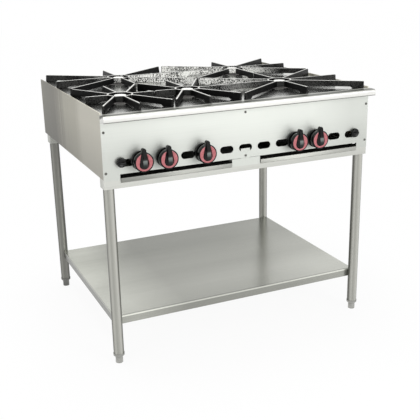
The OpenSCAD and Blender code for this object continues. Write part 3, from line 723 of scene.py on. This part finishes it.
def stack(shape: Shape, rings: list[tuple[float, Profile]], x: float) -> None:
    """Skins outlines that stand one before the other along Y, and closes both ends.

    Args:
        shape: Mesh that gets the skin.
        rings: Depth before the panel's face and outline, in millimetres, from back to front.
        x: Place of the outlines' origin along the panel, in metres; it is level with the knobs.
    """
    made = []
    for depth, outline in rings:
        y = FACE - depth * MM
        made.append([shape.verts.new((x + s * MM, y, KNOB_Z + u * MM)) for s, u in outline])
    skin(shape, made)


def geometry_tree(name: str, sizes: dict[str, float]) -> tuple[Tree, Node]:
    """Starts a geometry tree with named sizes.

    Args:
        name: The tree's name.
        sizes: Input names and their values.

    Returns:
        The tree and its input node.
    """
    tree = bpy.data.node_groups.new(name, "GeometryNodeTree")
    tree.interface.new_socket("Geometry", in_out="INPUT", socket_type="NodeSocketGeometry")
    for label, value in sizes.items():
        kind = "NodeSocketInt" if isinstance(value, int) else "NodeSocketFloat"
        tree.interface.new_socket(label, in_out="INPUT", socket_type=kind).default_value = value
    tree.interface.new_socket("Geometry", in_out="OUTPUT", socket_type="NodeSocketGeometry")
    return tree, add(tree, "NodeGroupInput")


def grown(tree: Tree, result: Node, material: Material, name: str, seeds: list[Triple]) -> Piece:
    """Ends a geometry tree, runs it on a few points and keeps the result as a plain mesh.

    Args:
        tree: The tree, without its end.
        result: The node with the finished geometry.
        material: What the result is made of.
        name: The piece's name.
        seeds: The points that the tree starts from, if it starts from any.

    Returns:
        The plain piece.
    """
    real = add(tree, "GeometryNodeRealizeInstances", {"Geometry": result})
    dressed = add(tree, "GeometryNodeSetMaterial", {"Geometry": real, "Material": material})
    add(tree, "NodeGroupOutput", {"Geometry": dressed})
    mesh = bpy.data.meshes.new(name + "_seed")
    mesh.from_pydata(seeds, [], [])
    work = linked(name + "_work", mesh)
    work.modifiers.new(name, "NODES").node_group = tree
    return realised(work, name)


@dataclass(frozen=True)
class SpiralThread:
    """A screw thread's ridge as one spiral; its radius is the ridge's middle line."""

    radius: float
    length: float
    pitch: float
    along: Axis = Axis.Z
    ridge_share: float = 0.42
    turn_steps: int = 28

    def build(self, name: str, material: Material, start: Vector) -> Piece:
        """Cuts the thread.

        Args:
            name: The piece's name.
            material: What it is made of.
            start: Middle of the thread's first turn.

        Returns:
            The plain piece.
        """
        ridge = self.pitch * self.ridge_share
        sizes = {"Radius": self.radius, "Length": self.length, "Turns": self.length / self.pitch, "Ridge": ridge}
        tree, source = geometry_tree(name, sizes)
        spiral = add(
            tree,
            "GeometryNodeCurveSpiral",
            {
                "Resolution": self.turn_steps,
                "Rotations": source.outputs["Turns"],
                "Start Radius": source.outputs["Radius"],
                "End Radius": source.outputs["Radius"],
                "Height": source.outputs["Length"],
            },
        )
        edge = {"Resolution": 4, "Radius": source.outputs["Ridge"]}
        profile = add(tree, "GeometryNodeCurvePrimitiveCircle", edge)
        swept = {"Curve": spiral, "Profile Curve": profile, "Fill Caps": True}
        turn = (-math.pi / 2, 0.0, 0.0) if self.along is Axis.Y else (0.0, 0.0, 0.0)
        put = {"Geometry": add(tree, "GeometryNodeCurveToMesh", swept), "Translation": tuple(start), "Rotation": turn}
        return grown(tree, add(tree, "GeometryNodeTransform", put), material, name, [])


@dataclass
class Assembly:
    """What every sub-assembly shares: the finishes and the way a piece is fitted to the frame."""

    looks: dict[Look, Material]

    def wear(self, look: Look, *nodes: str) -> None:
        """Gives CAD nodes a finish.

        Args:
            look: The finish.
            *nodes: The nodes.
        """
        for node in nodes:
            for slot in cad_nodes[node].material_slots:
                slot.material = self.looks[look]
            log.info("%s wears %s", node, look.value.name)

    def fit(self, piece: Piece, body: str, slot: str, *nodes: str) -> None:
        """Hangs a finished piece on its body.

        Args:
            piece: The piece, in place.
            body: The CAD body that carries it.
            slot: Not used.
            *nodes: CAD nodes that the piece stands for.
        """
        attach(piece, body)
        if nodes:
            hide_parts(*nodes)
        log.info("%s rides on %s", piece.name, body)

    def paint(self, piece: Piece, *looks: Look) -> Piece:
        """Gives a piece its finishes; all of it wears the first until its faces are told otherwise.

        Args:
            piece: The piece.
            *looks: Its finishes.

        Returns:
            The same piece.
        """
        piece.data.materials.clear()
        for look in looks:
            piece.data.materials.append(self.looks[look])
        return piece

    def softened(self, node: str, width: float, name: str, *looks: Look) -> Piece:
        """Copies a CAD node and breaks its sharp edges, as a file or a press does.

        Args:
            node: The CAD node.
            width: Width of the broken edge.
            name: The new piece's name.
            *looks: Its finishes.

        Returns:
            The new piece, not yet fitted.
        """
        work = from_bmesh(merged_copy(node), name + "_work")
        bevel = work.modifiers.new("edges", "BEVEL")
        bevel.width = width
        bevel.segments = 2
        bevel.limit_method = "ANGLE"
        bevel.angle_limit = math.radians(40)
        piece = realised(work, name)
        smooth_by_angle(piece, degrees=35)
        return self.paint(piece, *looks)


@dataclass
class Casing(Assembly):
    """Sheet metal of the body, with its screws."""

    screw_x: float = 516.0 * MM
    screw_rows: Pair = (716.0 * MM, 855.0 * MM)
    middle_x: float = 4.0 * MM
    middle_rows: Pair = (716.0 * MM, 873.0 * MM)
    head: float = 2.0 * MM
    cross: dict[str, float] = field(
        default_factory=lambda: {"Length": 3.4 * MM, "Width": 0.7 * MM, "Depth": 0.5 * MM}
    )

    def build(self) -> None:
        """Dresses the panels and puts a dark cross of painted shade on each screw."""
        self.wear(Look.SIDE, "left_side_panel", "right_side_panel")
        self.wear(Look.BACK, "back_panel")
        self.wear(Look.PANEL, "front_panel", "tray_divider")
        self.wear(Look.NOSE, "nose_rail")
        self.wear(Look.DECK, "deck")
        self.wear(Look.SCREW, "panel_screws")
        self.wear(Look.INNER, "tray_runners", "burner_bars", "manifold_brackets")
        self.fit(self.crosses(), "frame", "screw_steel")

    def crosses(self) -> Piece:
        """Painted shade of the cross recesses on the screw heads: one dark cross at each screw.

        Returns:
            One piece with all the crosses.
        """
        spots = [(side * self.screw_x, z) for side in (-1, 1) for z in self.screw_rows]
        spots += [(self.middle_x, z) for z in self.middle_rows]
        tree, source = geometry_tree("screw_crosses", self.cross)
        points = add(tree, "GeometryNodeMeshToPoints", {"Mesh": source})
        bars = []
        for first, second in (("Length", "Width"), ("Width", "Length")):
            sides = {"X": source.outputs[first], "Y": source.outputs["Depth"], "Z": source.outputs[second]}
            size = add(tree, "ShaderNodeCombineXYZ", sides)
            bars.append(add(tree, "GeometryNodeMeshCube", {"Size": size}))
        cross = add(tree, "GeometryNodeJoinGeometry", {"Geometry": bars[0]})
        tree.links.new(bars[1].outputs[0], cross.inputs["Geometry"])
        copies = add(tree, "GeometryNodeInstanceOnPoints", {"Points": points, "Instance": cross})
        seeds = [(x, FACE - self.head, z) for x, z in spots]
        return grown(tree, copies, self.looks[Look.DARK], "screw_crosses", seeds)


@dataclass
class Stand(Assembly):
    """Rails, tube legs, collars, screw feet and the undershelf."""

    leg_x: float = 503.6 * MM
    leg_rows: tuple[tuple[str, float], ...] = (("front", FACE + 23.5 * MM), ("rear", FACE + 797.0 * MM))
    # The leg in painted shade, and the share of its colour that it keeps.
    shaded_leg: str = "leg_rear_left"
    leg_shade: float = 0.56
    foot_edge: float = 0.6 * MM
    thread: SpiralThread = SpiralThread(7.6 * MM, 36.0 * MM, 2.2 * MM)
    thread_z: float = 31.0 * MM

    def build(self) -> None:
        """Dresses the stand and cuts the feet's threads."""
        self.wear(Look.RAIL, "front_stand_rail", "rear_stand_rail")
        self.wear(Look.SHELF, "undershelf", "shelf_stiffeners", "shelf_saddles")
        self.wear(Look.FOOT, "leg_collars")
        for row, y in self.leg_rows:
            for side, sign in SIDES:
                leg = f"leg_{row}_{side}"
                shade = self.leg_shade if leg == self.shaded_leg else 1.0
                tube = TubeSteel(leg + "_tube_painted_reflections", (sign * self.leg_x, y), shade).build()
                for slot in cad_nodes[leg].material_slots:
                    slot.material = tube
                self.foot(row, side, Vector((sign * self.leg_x, y, self.thread_z)))

    def foot(self, row: str, side: str, start: Vector) -> None:
        """One screw foot: turned from bar, with its thread above the taper.

        Args:
            row: Front or rear.
            side: Left or right.
            start: Middle of the thread's first turn.
        """
        node = f"foot_{row}_{side}"
        body = f"screw_foot_{row}_{side}"
        self.fit(self.softened(node, self.foot_edge, node + "_turned", Look.FOOT), body, "foot_steel", node)
        self.fit(self.thread.build(node + "_thread", self.looks[Look.FOOT], start), body, "foot_steel")


@dataclass
class Grates(Assembly):
    """The five lift-off castings."""

    voxel: float = 1.7 * MM
    rubbing: float = 0.5
    rubs: int = 3
    kept_share: float = 0.45

    def build(self) -> None:
        """Casts each grate from its CAD form: edges and corners come out rounded, as from a sand mould."""
        for spot in Spot:
            node = "grate_" + spot.value
            work = from_bmesh(merged_copy(node), node + "_work")
            sand = work.modifiers.new("sand", "REMESH")
            sand.mode = "VOXEL"
            sand.voxel_size = self.voxel
            sand.use_smooth_shade = True
            fettle = work.modifiers.new("fettle", "SMOOTH")
            fettle.factor = self.rubbing
            fettle.iterations = self.rubs
            work.modifiers.new("lean", "DECIMATE").ratio = self.kept_share
            piece = self.paint(realised(work, node + "_casting"), Look.GRATE)
            self.fit(piece, "lift_grate_" + spot.value, "grate_iron", node)


@dataclass
class Controls(Assembly):
    """Knobs, their red rings and the pilot knobs, in millimetres; a depth counts forward from the panel."""

    places: tuple[tuple[Spot, float], ...] = (
        (Spot.FRONT_LEFT, -395.0), (Spot.REAR_LEFT, -306.0), (Spot.FRONT_MID, -164.0),
        (Spot.REAR_RIGHT, 203.0), (Spot.FRONT_RIGHT, 289.0),
    )
    radius: float = 34.0
    waist_r: float = 28.0
    skirt: Pair = (4.0, 16.0)
    face: Pair = (30.0, 46.0)
    # Distance from a plate's flat face, and how far its edge is drawn in there.
    edge: tuple[Pair, ...] = ((0.0, 1.6), (0.25, 0.9), (0.8, 0.3), (1.6, 0.0))
    round_steps: int = 96
    stem_end: float = -23.0
    stem_r: float = 4.0
    stem_steps: int = 24
    grip_foot: float = 22.5
    grip_r: float = 16.0
    tip_r: float = 7.0
    grip_tip: float = 48.0
    # Depth, radius at the foot, radius at the tip, and how far the foot is drawn up.
    grip_rows: tuple[tuple[float, float, float, float], ...] = (
        (34.5, 16.0, 7.0, 0.0), (46.0, 16.0, 7.0, 0.0), (47.2, 15.8, 7.0, 0.0), (48.6, 14.4, 6.8, 0.4),
        (50.2, 12.6, 6.5, 1.0), (52.0, 10.8, 6.2, 1.6), (53.6, 9.6, 5.9, 2.1), (55.2, 8.6, 5.6, 2.6),
        (56.4, 7.8, 5.2, 3.0), (57.3, 6.8, 4.6, 3.6), (57.8, 5.8, 3.8, 4.4), (58.0, 4.6, 2.8, 5.4),
    )
    grip_front: float = 58.0
    bend_up: float = 4.0
    bend_slope: float = 0.2
    # Depth above which the grip's crown takes the painted highlight.
    highlight_depth: float = 56.0
    ring_outer: float = 30.4
    ring_land: float = 0.5
    ring_depths: Triple = (45.0, 45.8, 46.4)
    ring_crown: float = 3.0
    # Least width of the ring at its ends, and the step of the angle that looks for them.
    ring_end: float = 1.2
    ring_search: float = 0.01
    ring_steps: int = 90
    pilot_x: float = 463.0
    pilot_r: float = 17.5
    flutes: int = 16
    # Depth, how far the knob is drawn in, and how deep its flutes are.
    pilot_rows: tuple[Triple, ...] = (
        (3.0, 3.0, 0.0), (3.4, 1.6, 0.4), (5.0, 0.0, 1.2), (13.0, 0.3, 1.2),
        (15.5, 1.6, 0.8), (17.2, 3.6, 0.2), (17.6, 5.4, 0.0), (16.6, 7.4, 0.0),
    )
    ridge_half: float = 11.0
    ridge_steps: int = 8
    # Depth and radius of the ridge's rounded ends.
    ridge_rows: tuple[Pair, ...] = ((16.4, 2.7), (20.4, 2.5), (21.4, 2.0), (22.0, 1.1))
    pilot_stem_r: float = 3.0
    pilot_stem_steps: int = 20

    def build(self) -> None:
        """Moulds the knobs and sets the rings in."""
        for spot, x in self.places:
            knob, ring, body = "knob_" + spot.value, "ring_" + spot.value, "control_" + spot.value
            self.fit(self.knob(knob + "_moulded", x), body, "knob_black", knob)
            self.fit(self.ring(ring + "_lacquered", x), body, "ring_red", ring)
        for side, sign in SIDES:
            piece = self.pilot_knob(f"pilot_knob_{side}_moulded", sign * self.pilot_x)
            self.fit(piece, "pilot_control_" + side, "knob_black", "pilot_knob_" + side)

    def plate(self, back: float, front: float) -> list[tuple[float, Profile]]:
        """Round plate with rounded edges.

        Args:
            back: Depth of its back.
            front: Depth of its front.

        Returns:
            Depths and outlines, from back to front.
        """
        rows = [(back + d, inset) for d, inset in self.edge]
        rows += [(front - d, inset) for d, inset in self.edge[::-1]]
        return [(depth, circle(self.radius - inset, self.round_steps)) for depth, inset in rows]

    def grip_depth(self, most: float, up: float) -> float:
        """A depth on the crown of the grip, which falls back above the bend."""
        return most - self.bend_slope * max(0.0, up - self.bend_up)

    def knob(self, name: str, x: float) -> Piece:
        """A knob's round skirt, waist and face, its grip and its stem.

        Args:
            name: The piece's name.
            x: Its place along the panel.

        Returns:
            The piece.
        """
        shape = bmesh.new()
        waist = [(depth, circle(self.waist_r, self.round_steps)) for depth in (self.skirt[1], self.face[0])]
        stack(shape, self.plate(*self.skirt) + waist + self.plate(*self.face), x * MM)
        grip = []
        for depth, wide, tip, inset in self.grip_rows:
            low = wide - self.grip_foot + inset
            outline = drop_outline(wide, tip, self.grip_tip - self.tip_r - low)
            grip.append((depth, [(s, u + low) for s, u in outline]))
        first = len(shape.verts)
        stack(shape, grip, x * MM)
        for vertex in list(shape.verts)[first:]:
            up = (vertex.co.z - KNOB_Z) / MM
            vertex.co.y = max(vertex.co.y, FACE - self.grip_depth(self.grip_front, up) * MM)
        behind = self.skirt[0] + 1.0
        stem = circle(self.stem_r, self.stem_steps)
        stack(shape, [(self.stem_end, stem), (behind, stem)], x * MM)
        bmesh.ops.triangulate(shape, faces=[face for face in shape.faces if len(face.verts) > 4])
        piece = self.paint(from_bmesh(shape, name), Look.KNOB, Look.BRASS, Look.RUBBED)
        smooth_by_angle(piece, degrees=50)
        # Slot 1 is the stem's brass, and slot 2 the crown of the grip, which takes the painted highlight.
        for face in piece.data.polygons:
            side, up = face.center.x / MM - x, (face.center.z - KNOB_Z) / MM
            depth = (FACE - face.center.y) / MM
            if math.hypot(side, up) < self.stem_r + 0.3 and depth < behind:
                face.material_index = 1
            elif depth > self.grip_depth(self.highlight_depth, up):
                face.material_index = 2
        return piece

    def ring(self, name: str, x: float) -> Piece:
        """The red ring: it fills the face inside the rim, and the grip splits it at the top.

        Args:
            name: The piece's name.
            x: Its place along the panel.

        Returns:
            The piece.
        """
        middle = self.grip_r - self.grip_foot
        wide = self.grip_r + self.ring_land
        rise = math.asin((self.grip_r - self.tip_r) / (self.grip_tip - self.tip_r - middle))

        def reach(angle: float) -> Pair:
            """How far the ring runs from the middle of the grip's foot.

            Args:
                angle: Direction, clockwise from straight up.

            Returns:
                Distances to the grip's side and to the rim.
            """
            turn = min(angle, 2 * math.pi - angle)
            inner = wide if turn > math.pi / 2 - rise else wide / math.cos(math.pi / 2 - rise - turn)
            along = middle * math.cos(angle)
            return inner, -along + math.sqrt(along**2 - middle**2 + self.ring_outer**2)

        # The ring ends where the grip leaves it too little width.
        start = self.ring_search
        while reach(start)[1] - reach(start)[0] < self.ring_end:
            start += self.ring_search
        shape = bmesh.new()
        rows = []
        seat, edge, crown = self.ring_depths
        for k in range(self.ring_steps + 1):
            angle = start + (2 * math.pi - 2 * start) * k / self.ring_steps
            across, up = math.sin(angle), math.cos(angle)
            inner, outer = reach(angle)
            soft = min(self.ring_crown, (outer - inner) / 3)
            profile = [(inner, seat), (inner, edge), (inner + soft, crown)]
            profile += [(outer - soft, crown), (outer, edge), (outer, seat)]
            corners = [(x + r * across, depth, middle + r * up) for r, depth in profile]
            rows.append([shape.verts.new((s * MM, FACE - d * MM, KNOB_Z + u * MM)) for s, d, u in corners])
        skin(shape, rows)
        piece = from_bmesh(shape, name)
        smooth_by_angle(piece, degrees=30)
        return self.paint(piece, Look.RING)

    def fluted(self, radius: float, depth: float) -> Profile:
        """Circle with shallow flutes.

        Args:
            radius: Its radius over the flutes.
            depth: How deep they are.

        Returns:
            Its points in order.
        """
        points = []
        for k in range(self.round_steps):
            angle = 2 * math.pi * k / self.round_steps
            r = radius - depth * (0.5 - 0.5 * math.cos(self.flutes * angle))
            points.append((r * math.cos(angle), r * math.sin(angle)))
        return points

    def pilot_knob(self, name: str, x: float) -> Piece:
        """A small fluted knob with a ridge across its face.

        Args:
            name: The piece's name.
            x: Its place along the panel.

        Returns:
            The piece.
        """
        shape = bmesh.new()
        rows = [(depth, self.fluted(self.pilot_r - inset, flute)) for depth, inset, flute in self.pilot_rows]
        stack(shape, rows, x * MM)
        steps = self.ridge_steps
        turns = [math.pi * k / steps - math.pi / 2 for k in range(steps + 1)]
        ridge = []
        for depth, r in self.ridge_rows:
            end = [(self.ridge_half + r * math.cos(a), r * math.sin(a)) for a in turns]
            ridge.append((depth, end + [(-s, -u) for s, u in end]))
        stack(shape, ridge, x * MM)
        stem = circle(self.pilot_stem_r, self.pilot_stem_steps)
        stack(shape, [(self.stem_end, stem), (self.skirt[0], stem)], x * MM)
        piece = from_bmesh(shape, name)
        smooth_by_angle(piece, degrees=40)
        return self.paint(piece, Look.KNOB)


@dataclass
class GasTrain(Assembly):
    """Pipe, valves, inlet and pilot tubes behind the panel."""

    thread: SpiralThread = SpiralThread(12.9 * MM, 16.0 * MM, 1.8 * MM, Axis.Y)
    thread_start: Triple = (495.0 * MM, FACE + 868.5 * MM, 792.0 * MM)

    def build(self) -> None:
        """Dresses the gas pieces and cuts the inlet's thread."""
        self.wear(Look.PIPE, "gas_manifold")
        self.wear(Look.BRASS, "gas_valves", "gas_inlet")
        self.wear(Look.DRAWN, "pilot_tubes")
        thread = self.thread.build("gas_inlet_thread", self.looks[Look.BRASS], Vector(self.thread_start))
        self.fit(thread, "frame", "valve_brass")


@dataclass
class Burners(Assembly):
    """Burner castings with their caps and their crowns of flame ports."""

    ports: dict[str, float] = field(default_factory=lambda: {"Count": 28, "Ring": 30.0 * MM, "Port": 1.5 * MM})
    port_sides: int = 12
    port_depth: float = 1.2 * MM
    port_z: float = DECK_Z + 0.9 * MM
    # Height above the deck and radius, in millimetres.
    cap_rows: tuple[Pair, ...] = ((4.0, 16.9), (20.0, 15.2), (21.6, 20.5), (23.4, 21.5), (24.0, 20.8))
    cap_steps: int = 64
    # Place along the panel and behind its face, in millimetres.
    middles: tuple[tuple[Spot, float, float], ...] = (
        (Spot.FRONT_LEFT, -385.5, 209.0), (Spot.FRONT_MID, -128.5, 209.0), (Spot.FRONT_RIGHT, 257.0, 209.0),
        (Spot.REAR_LEFT, -257.0, 625.0), (Spot.REAR_RIGHT, 257.0, 625.0),
    )

    def build(self) -> None:
        """Dresses the burners and sets rings of dark ports of painted shade on their crowns."""
        self.wear(Look.INNER, "air_shutters")
        for spot, x, y in self.middles:
            node = "burner_" + spot.value
            self.wear(Look.BURNER, node)
            self.fit(self.cap(node + "_cap", x * MM, FACE + y * MM), "frame", "burner_iron")
            self.fit(self.crown(node + "_ports", x * MM, FACE + y * MM), "frame", "burner_iron")

    def cap(self, name: str, x: float, y: float) -> Piece:
        """Machined cap over the middle of a burner.

        Args:
            name: The piece's name.
            x: Place of its middle along the panel, in metres.
            y: Place of its middle to the back, in metres.

        Returns:
            The piece.
        """
        shape = bmesh.new()
        made = []
        for height, radius in self.cap_rows:
            z = DECK_Z + height * MM
            outline = circle(radius, self.cap_steps)
            made.append([shape.verts.new((x + s * MM, y + u * MM, z)) for s, u in outline])
        skin(shape, made)
        piece = from_bmesh(shape, name)
        smooth_by_angle(piece, degrees=40)
        return self.paint(piece, Look.CAP)

    def crown(self, name: str, x: float, y: float) -> Piece:
        """Ring of flame ports on a burner's crown, drawn as dark discs of painted shade.

        Args:
            name: The piece's name.
            x: Place of its middle along the panel, in metres.
            y: Place of its middle to the back, in metres.

        Returns:
            The piece.
        """
        tree, source = geometry_tree(name, self.ports)
        hole = {"Vertices": self.port_sides, "Radius": source.outputs["Port"], "Depth": self.port_depth}
        port = add(tree, "GeometryNodeMeshCylinder", hole)
        row = {"Vertices": source.outputs["Count"], "Radius": source.outputs["Ring"]}
        ring = add(tree, "GeometryNodeMeshCircle", row)
        copies = add(tree, "GeometryNodeInstanceOnPoints", {"Points": ring, "Instance": port})
        put = add(tree, "GeometryNodeTransform", {"Geometry": copies, "Translation": (x, y, self.port_z)})
        return grown(tree, put, self.looks[Look.DARK], name, [])


@dataclass
class DripTrays(Assembly):
    """The two pull-out trays."""

    lip_reach: float = 2.0 * MM
    sheared_edge: float = 0.3 * MM

    def build(self) -> None:
        """Dresses both trays, with their sheared edges broken."""
        for side, _ in SIDES:
            node = "drip_tray_" + side
            piece = self.softened(node, self.sheared_edge, node + "_folded", Look.TRAY, Look.TRAY_INSIDE)
            # Slot 1 is the inside behind the lip, in painted shade.
            for face in piece.data.polygons:
                if face.center.y > FACE + self.lip_reach:
                    face.material_index = 1
            self.fit(piece, "tray_" + side, "tray_steel", node)


@dataclass
class Studio:
    """Pale floor, plain soft light and the camera."""

    focal_px: float = 759.97
    image_px: float = 420.0
    sensor_mm: float = 36.0
    place: Triple = (-1.1971, -2.3623 + FACE, 1.384)
    heading: float = -0.4206
    dip: float = 0.3180
    roll: float = -0.0208
    floor_half: float = 14.0
    sky_strength: float = 0.55
    # Name, place, size in metres and power in watts.
    lamps: tuple[tuple[str, Triple, float, float], ...] = (
        ("key_softbox", (1.5, -4.2, 1.9), 2.2, 74.0),
        ("fill_softbox", (-3.2, -2.0, 2.2), 0.8, 11.0),
        ("top_softbox", (-0.2, 0.3, 3.4), 2.0, 75.0),
    )
    lamps_look_at: Triple = (0.0, 0.0, 0.6)

    def build(self) -> None:
        """Makes the floor, the world, the lamps and the camera."""
        self.floor()
        self.world()
        for name, place, size, watts in self.lamps:
            self.lamp(name, Vector(place), size, watts)
        self.camera()

    def lit(self, tree: Tree) -> Node:
        """Tells the rays that see something from those that only carry light.

        Args:
            tree: The tree of the floor or of the world.

        Returns:
            A node that gives 1 for camera, glossy and transmission rays, and 0 for the others.
        """
        path = add(tree, "ShaderNodeLightPath")
        seen = {0: path.outputs["Is Camera Ray"], 1: path.outputs["Is Glossy Ray"]}
        first = add(tree, "ShaderNodeMath", seen, operation="MAXIMUM")
        through = {0: first, 1: path.outputs["Is Transmission Ray"]}
        return add(tree, "ShaderNodeMath", through, operation="MAXIMUM")

    def floor(self) -> None:
        """A wide pale floor that keeps a trace of the stove's shadow."""
        mesh = bpy.data.meshes.new("floor")
        size = self.floor_half
        corners = [(-size, -size, 0), (size, -size, 0), (size, size, 0), (-size, size, 0)]
        mesh.from_pydata(corners, [], [(0, 1, 2, 3)])
        floor = linked("floor", mesh)
        material, tree, spot = new_material("floor_paper")
        paper = add(tree, "ShaderNodeBsdfDiffuse", {"Color": linear("#F3F3F3")})
        glow = add(tree, "ShaderNodeEmission", {"Color": linear("#FFFFFF"), "Strength": 1.0})
        far = add(tree, "ShaderNodeVectorMath", {0: spot}, operation="LENGTH").outputs["Value"]
        span = {"From Min": 0.6, "From Max": 1.8, "To Min": 0.93, "To Max": 0.995}
        level = add(tree, "ShaderNodeMapRange", {"Value": far, **span})
        share = add(tree, "ShaderNodeMath", {0: self.lit(tree), 1: level}, operation="MULTIPLY")
        mix = add(tree, "ShaderNodeMixShader", {0: share, 1: paper, 2: glow})
        add(tree, "ShaderNodeOutputMaterial", {"Surface": mix})
        mesh.materials.append(material)

    def world(self) -> None:
        """White for the camera and in reflections, softer as a source of light."""
        world = bpy.data.worlds.new("studio")
        bpy.context.scene.world = world
        world.use_nodes = True
        tree = world.node_tree
        tree.nodes.clear()
        strength = {"Value": self.lit(tree), "To Min": self.sky_strength, "To Max": 1.0}
        level = add(tree, "ShaderNodeMapRange", strength)
        sky = add(tree, "ShaderNodeBackground", {"Color": linear("#FFFFFF"), "Strength": level})
        add(tree, "ShaderNodeOutputWorld", {"Surface": sky})

    def lamp(self, name: str, place: Vector, size: float, watts: float) -> None:
        """A square soft lamp that looks at the stove's middle.

        Args:
            name: The lamp's name.
            place: Where it hangs.
            size: Its side.
            watts: Its power.
        """
        data = bpy.data.lights.new(name, "AREA")
        data.size = size
        data.energy = watts
        lamp = linked(name, data)
        lamp.location = place
        lamp.rotation_mode = "QUATERNION"
        lamp.rotation_quaternion = (Vector(self.lamps_look_at) - place).to_track_quat("-Z", "Y")

    def camera(self) -> None:
        """The photograph's camera."""
        level = math.cos(self.dip)
        ahead = (-math.sin(self.heading) * level, math.cos(self.heading) * level, -math.sin(self.dip))
        forward = Vector(ahead)
        right = forward.cross(Vector(ALONG_Z)).normalized()
        up = right.cross(forward)
        c, s = math.cos(self.roll), math.sin(self.roll)
        side, top = right * c + up * s, up * c - right * s
        data = bpy.data.cameras.new("camera")
        data.sensor_width = self.sensor_mm
        data.lens = self.focal_px / self.image_px * self.sensor_mm
        data.clip_end = 60
        camera = linked("camera", data)
        turned = Matrix((side, top, -forward)).transposed().to_4x4()
        camera.matrix_world = Matrix.Translation(Vector(self.place)) @ turned
        bpy.context.scene.camera = camera


def main() -> None:
    """Builds the studio and every sub-assembly."""
    bpy.context.scene.view_settings.view_transform = "Standard"
    Studio().build()
    looks = {look: look.value.build() for look in Look}
    kinds: list[Callable[..., Assembly]] = [Casing, Stand, Grates, Controls, GasTrain, Burners, DripTrays]
    for kind in kinds:
        log.info("building %s", kind.__name__)
        kind(looks).build()


if __name__ == "__main__":
    main()
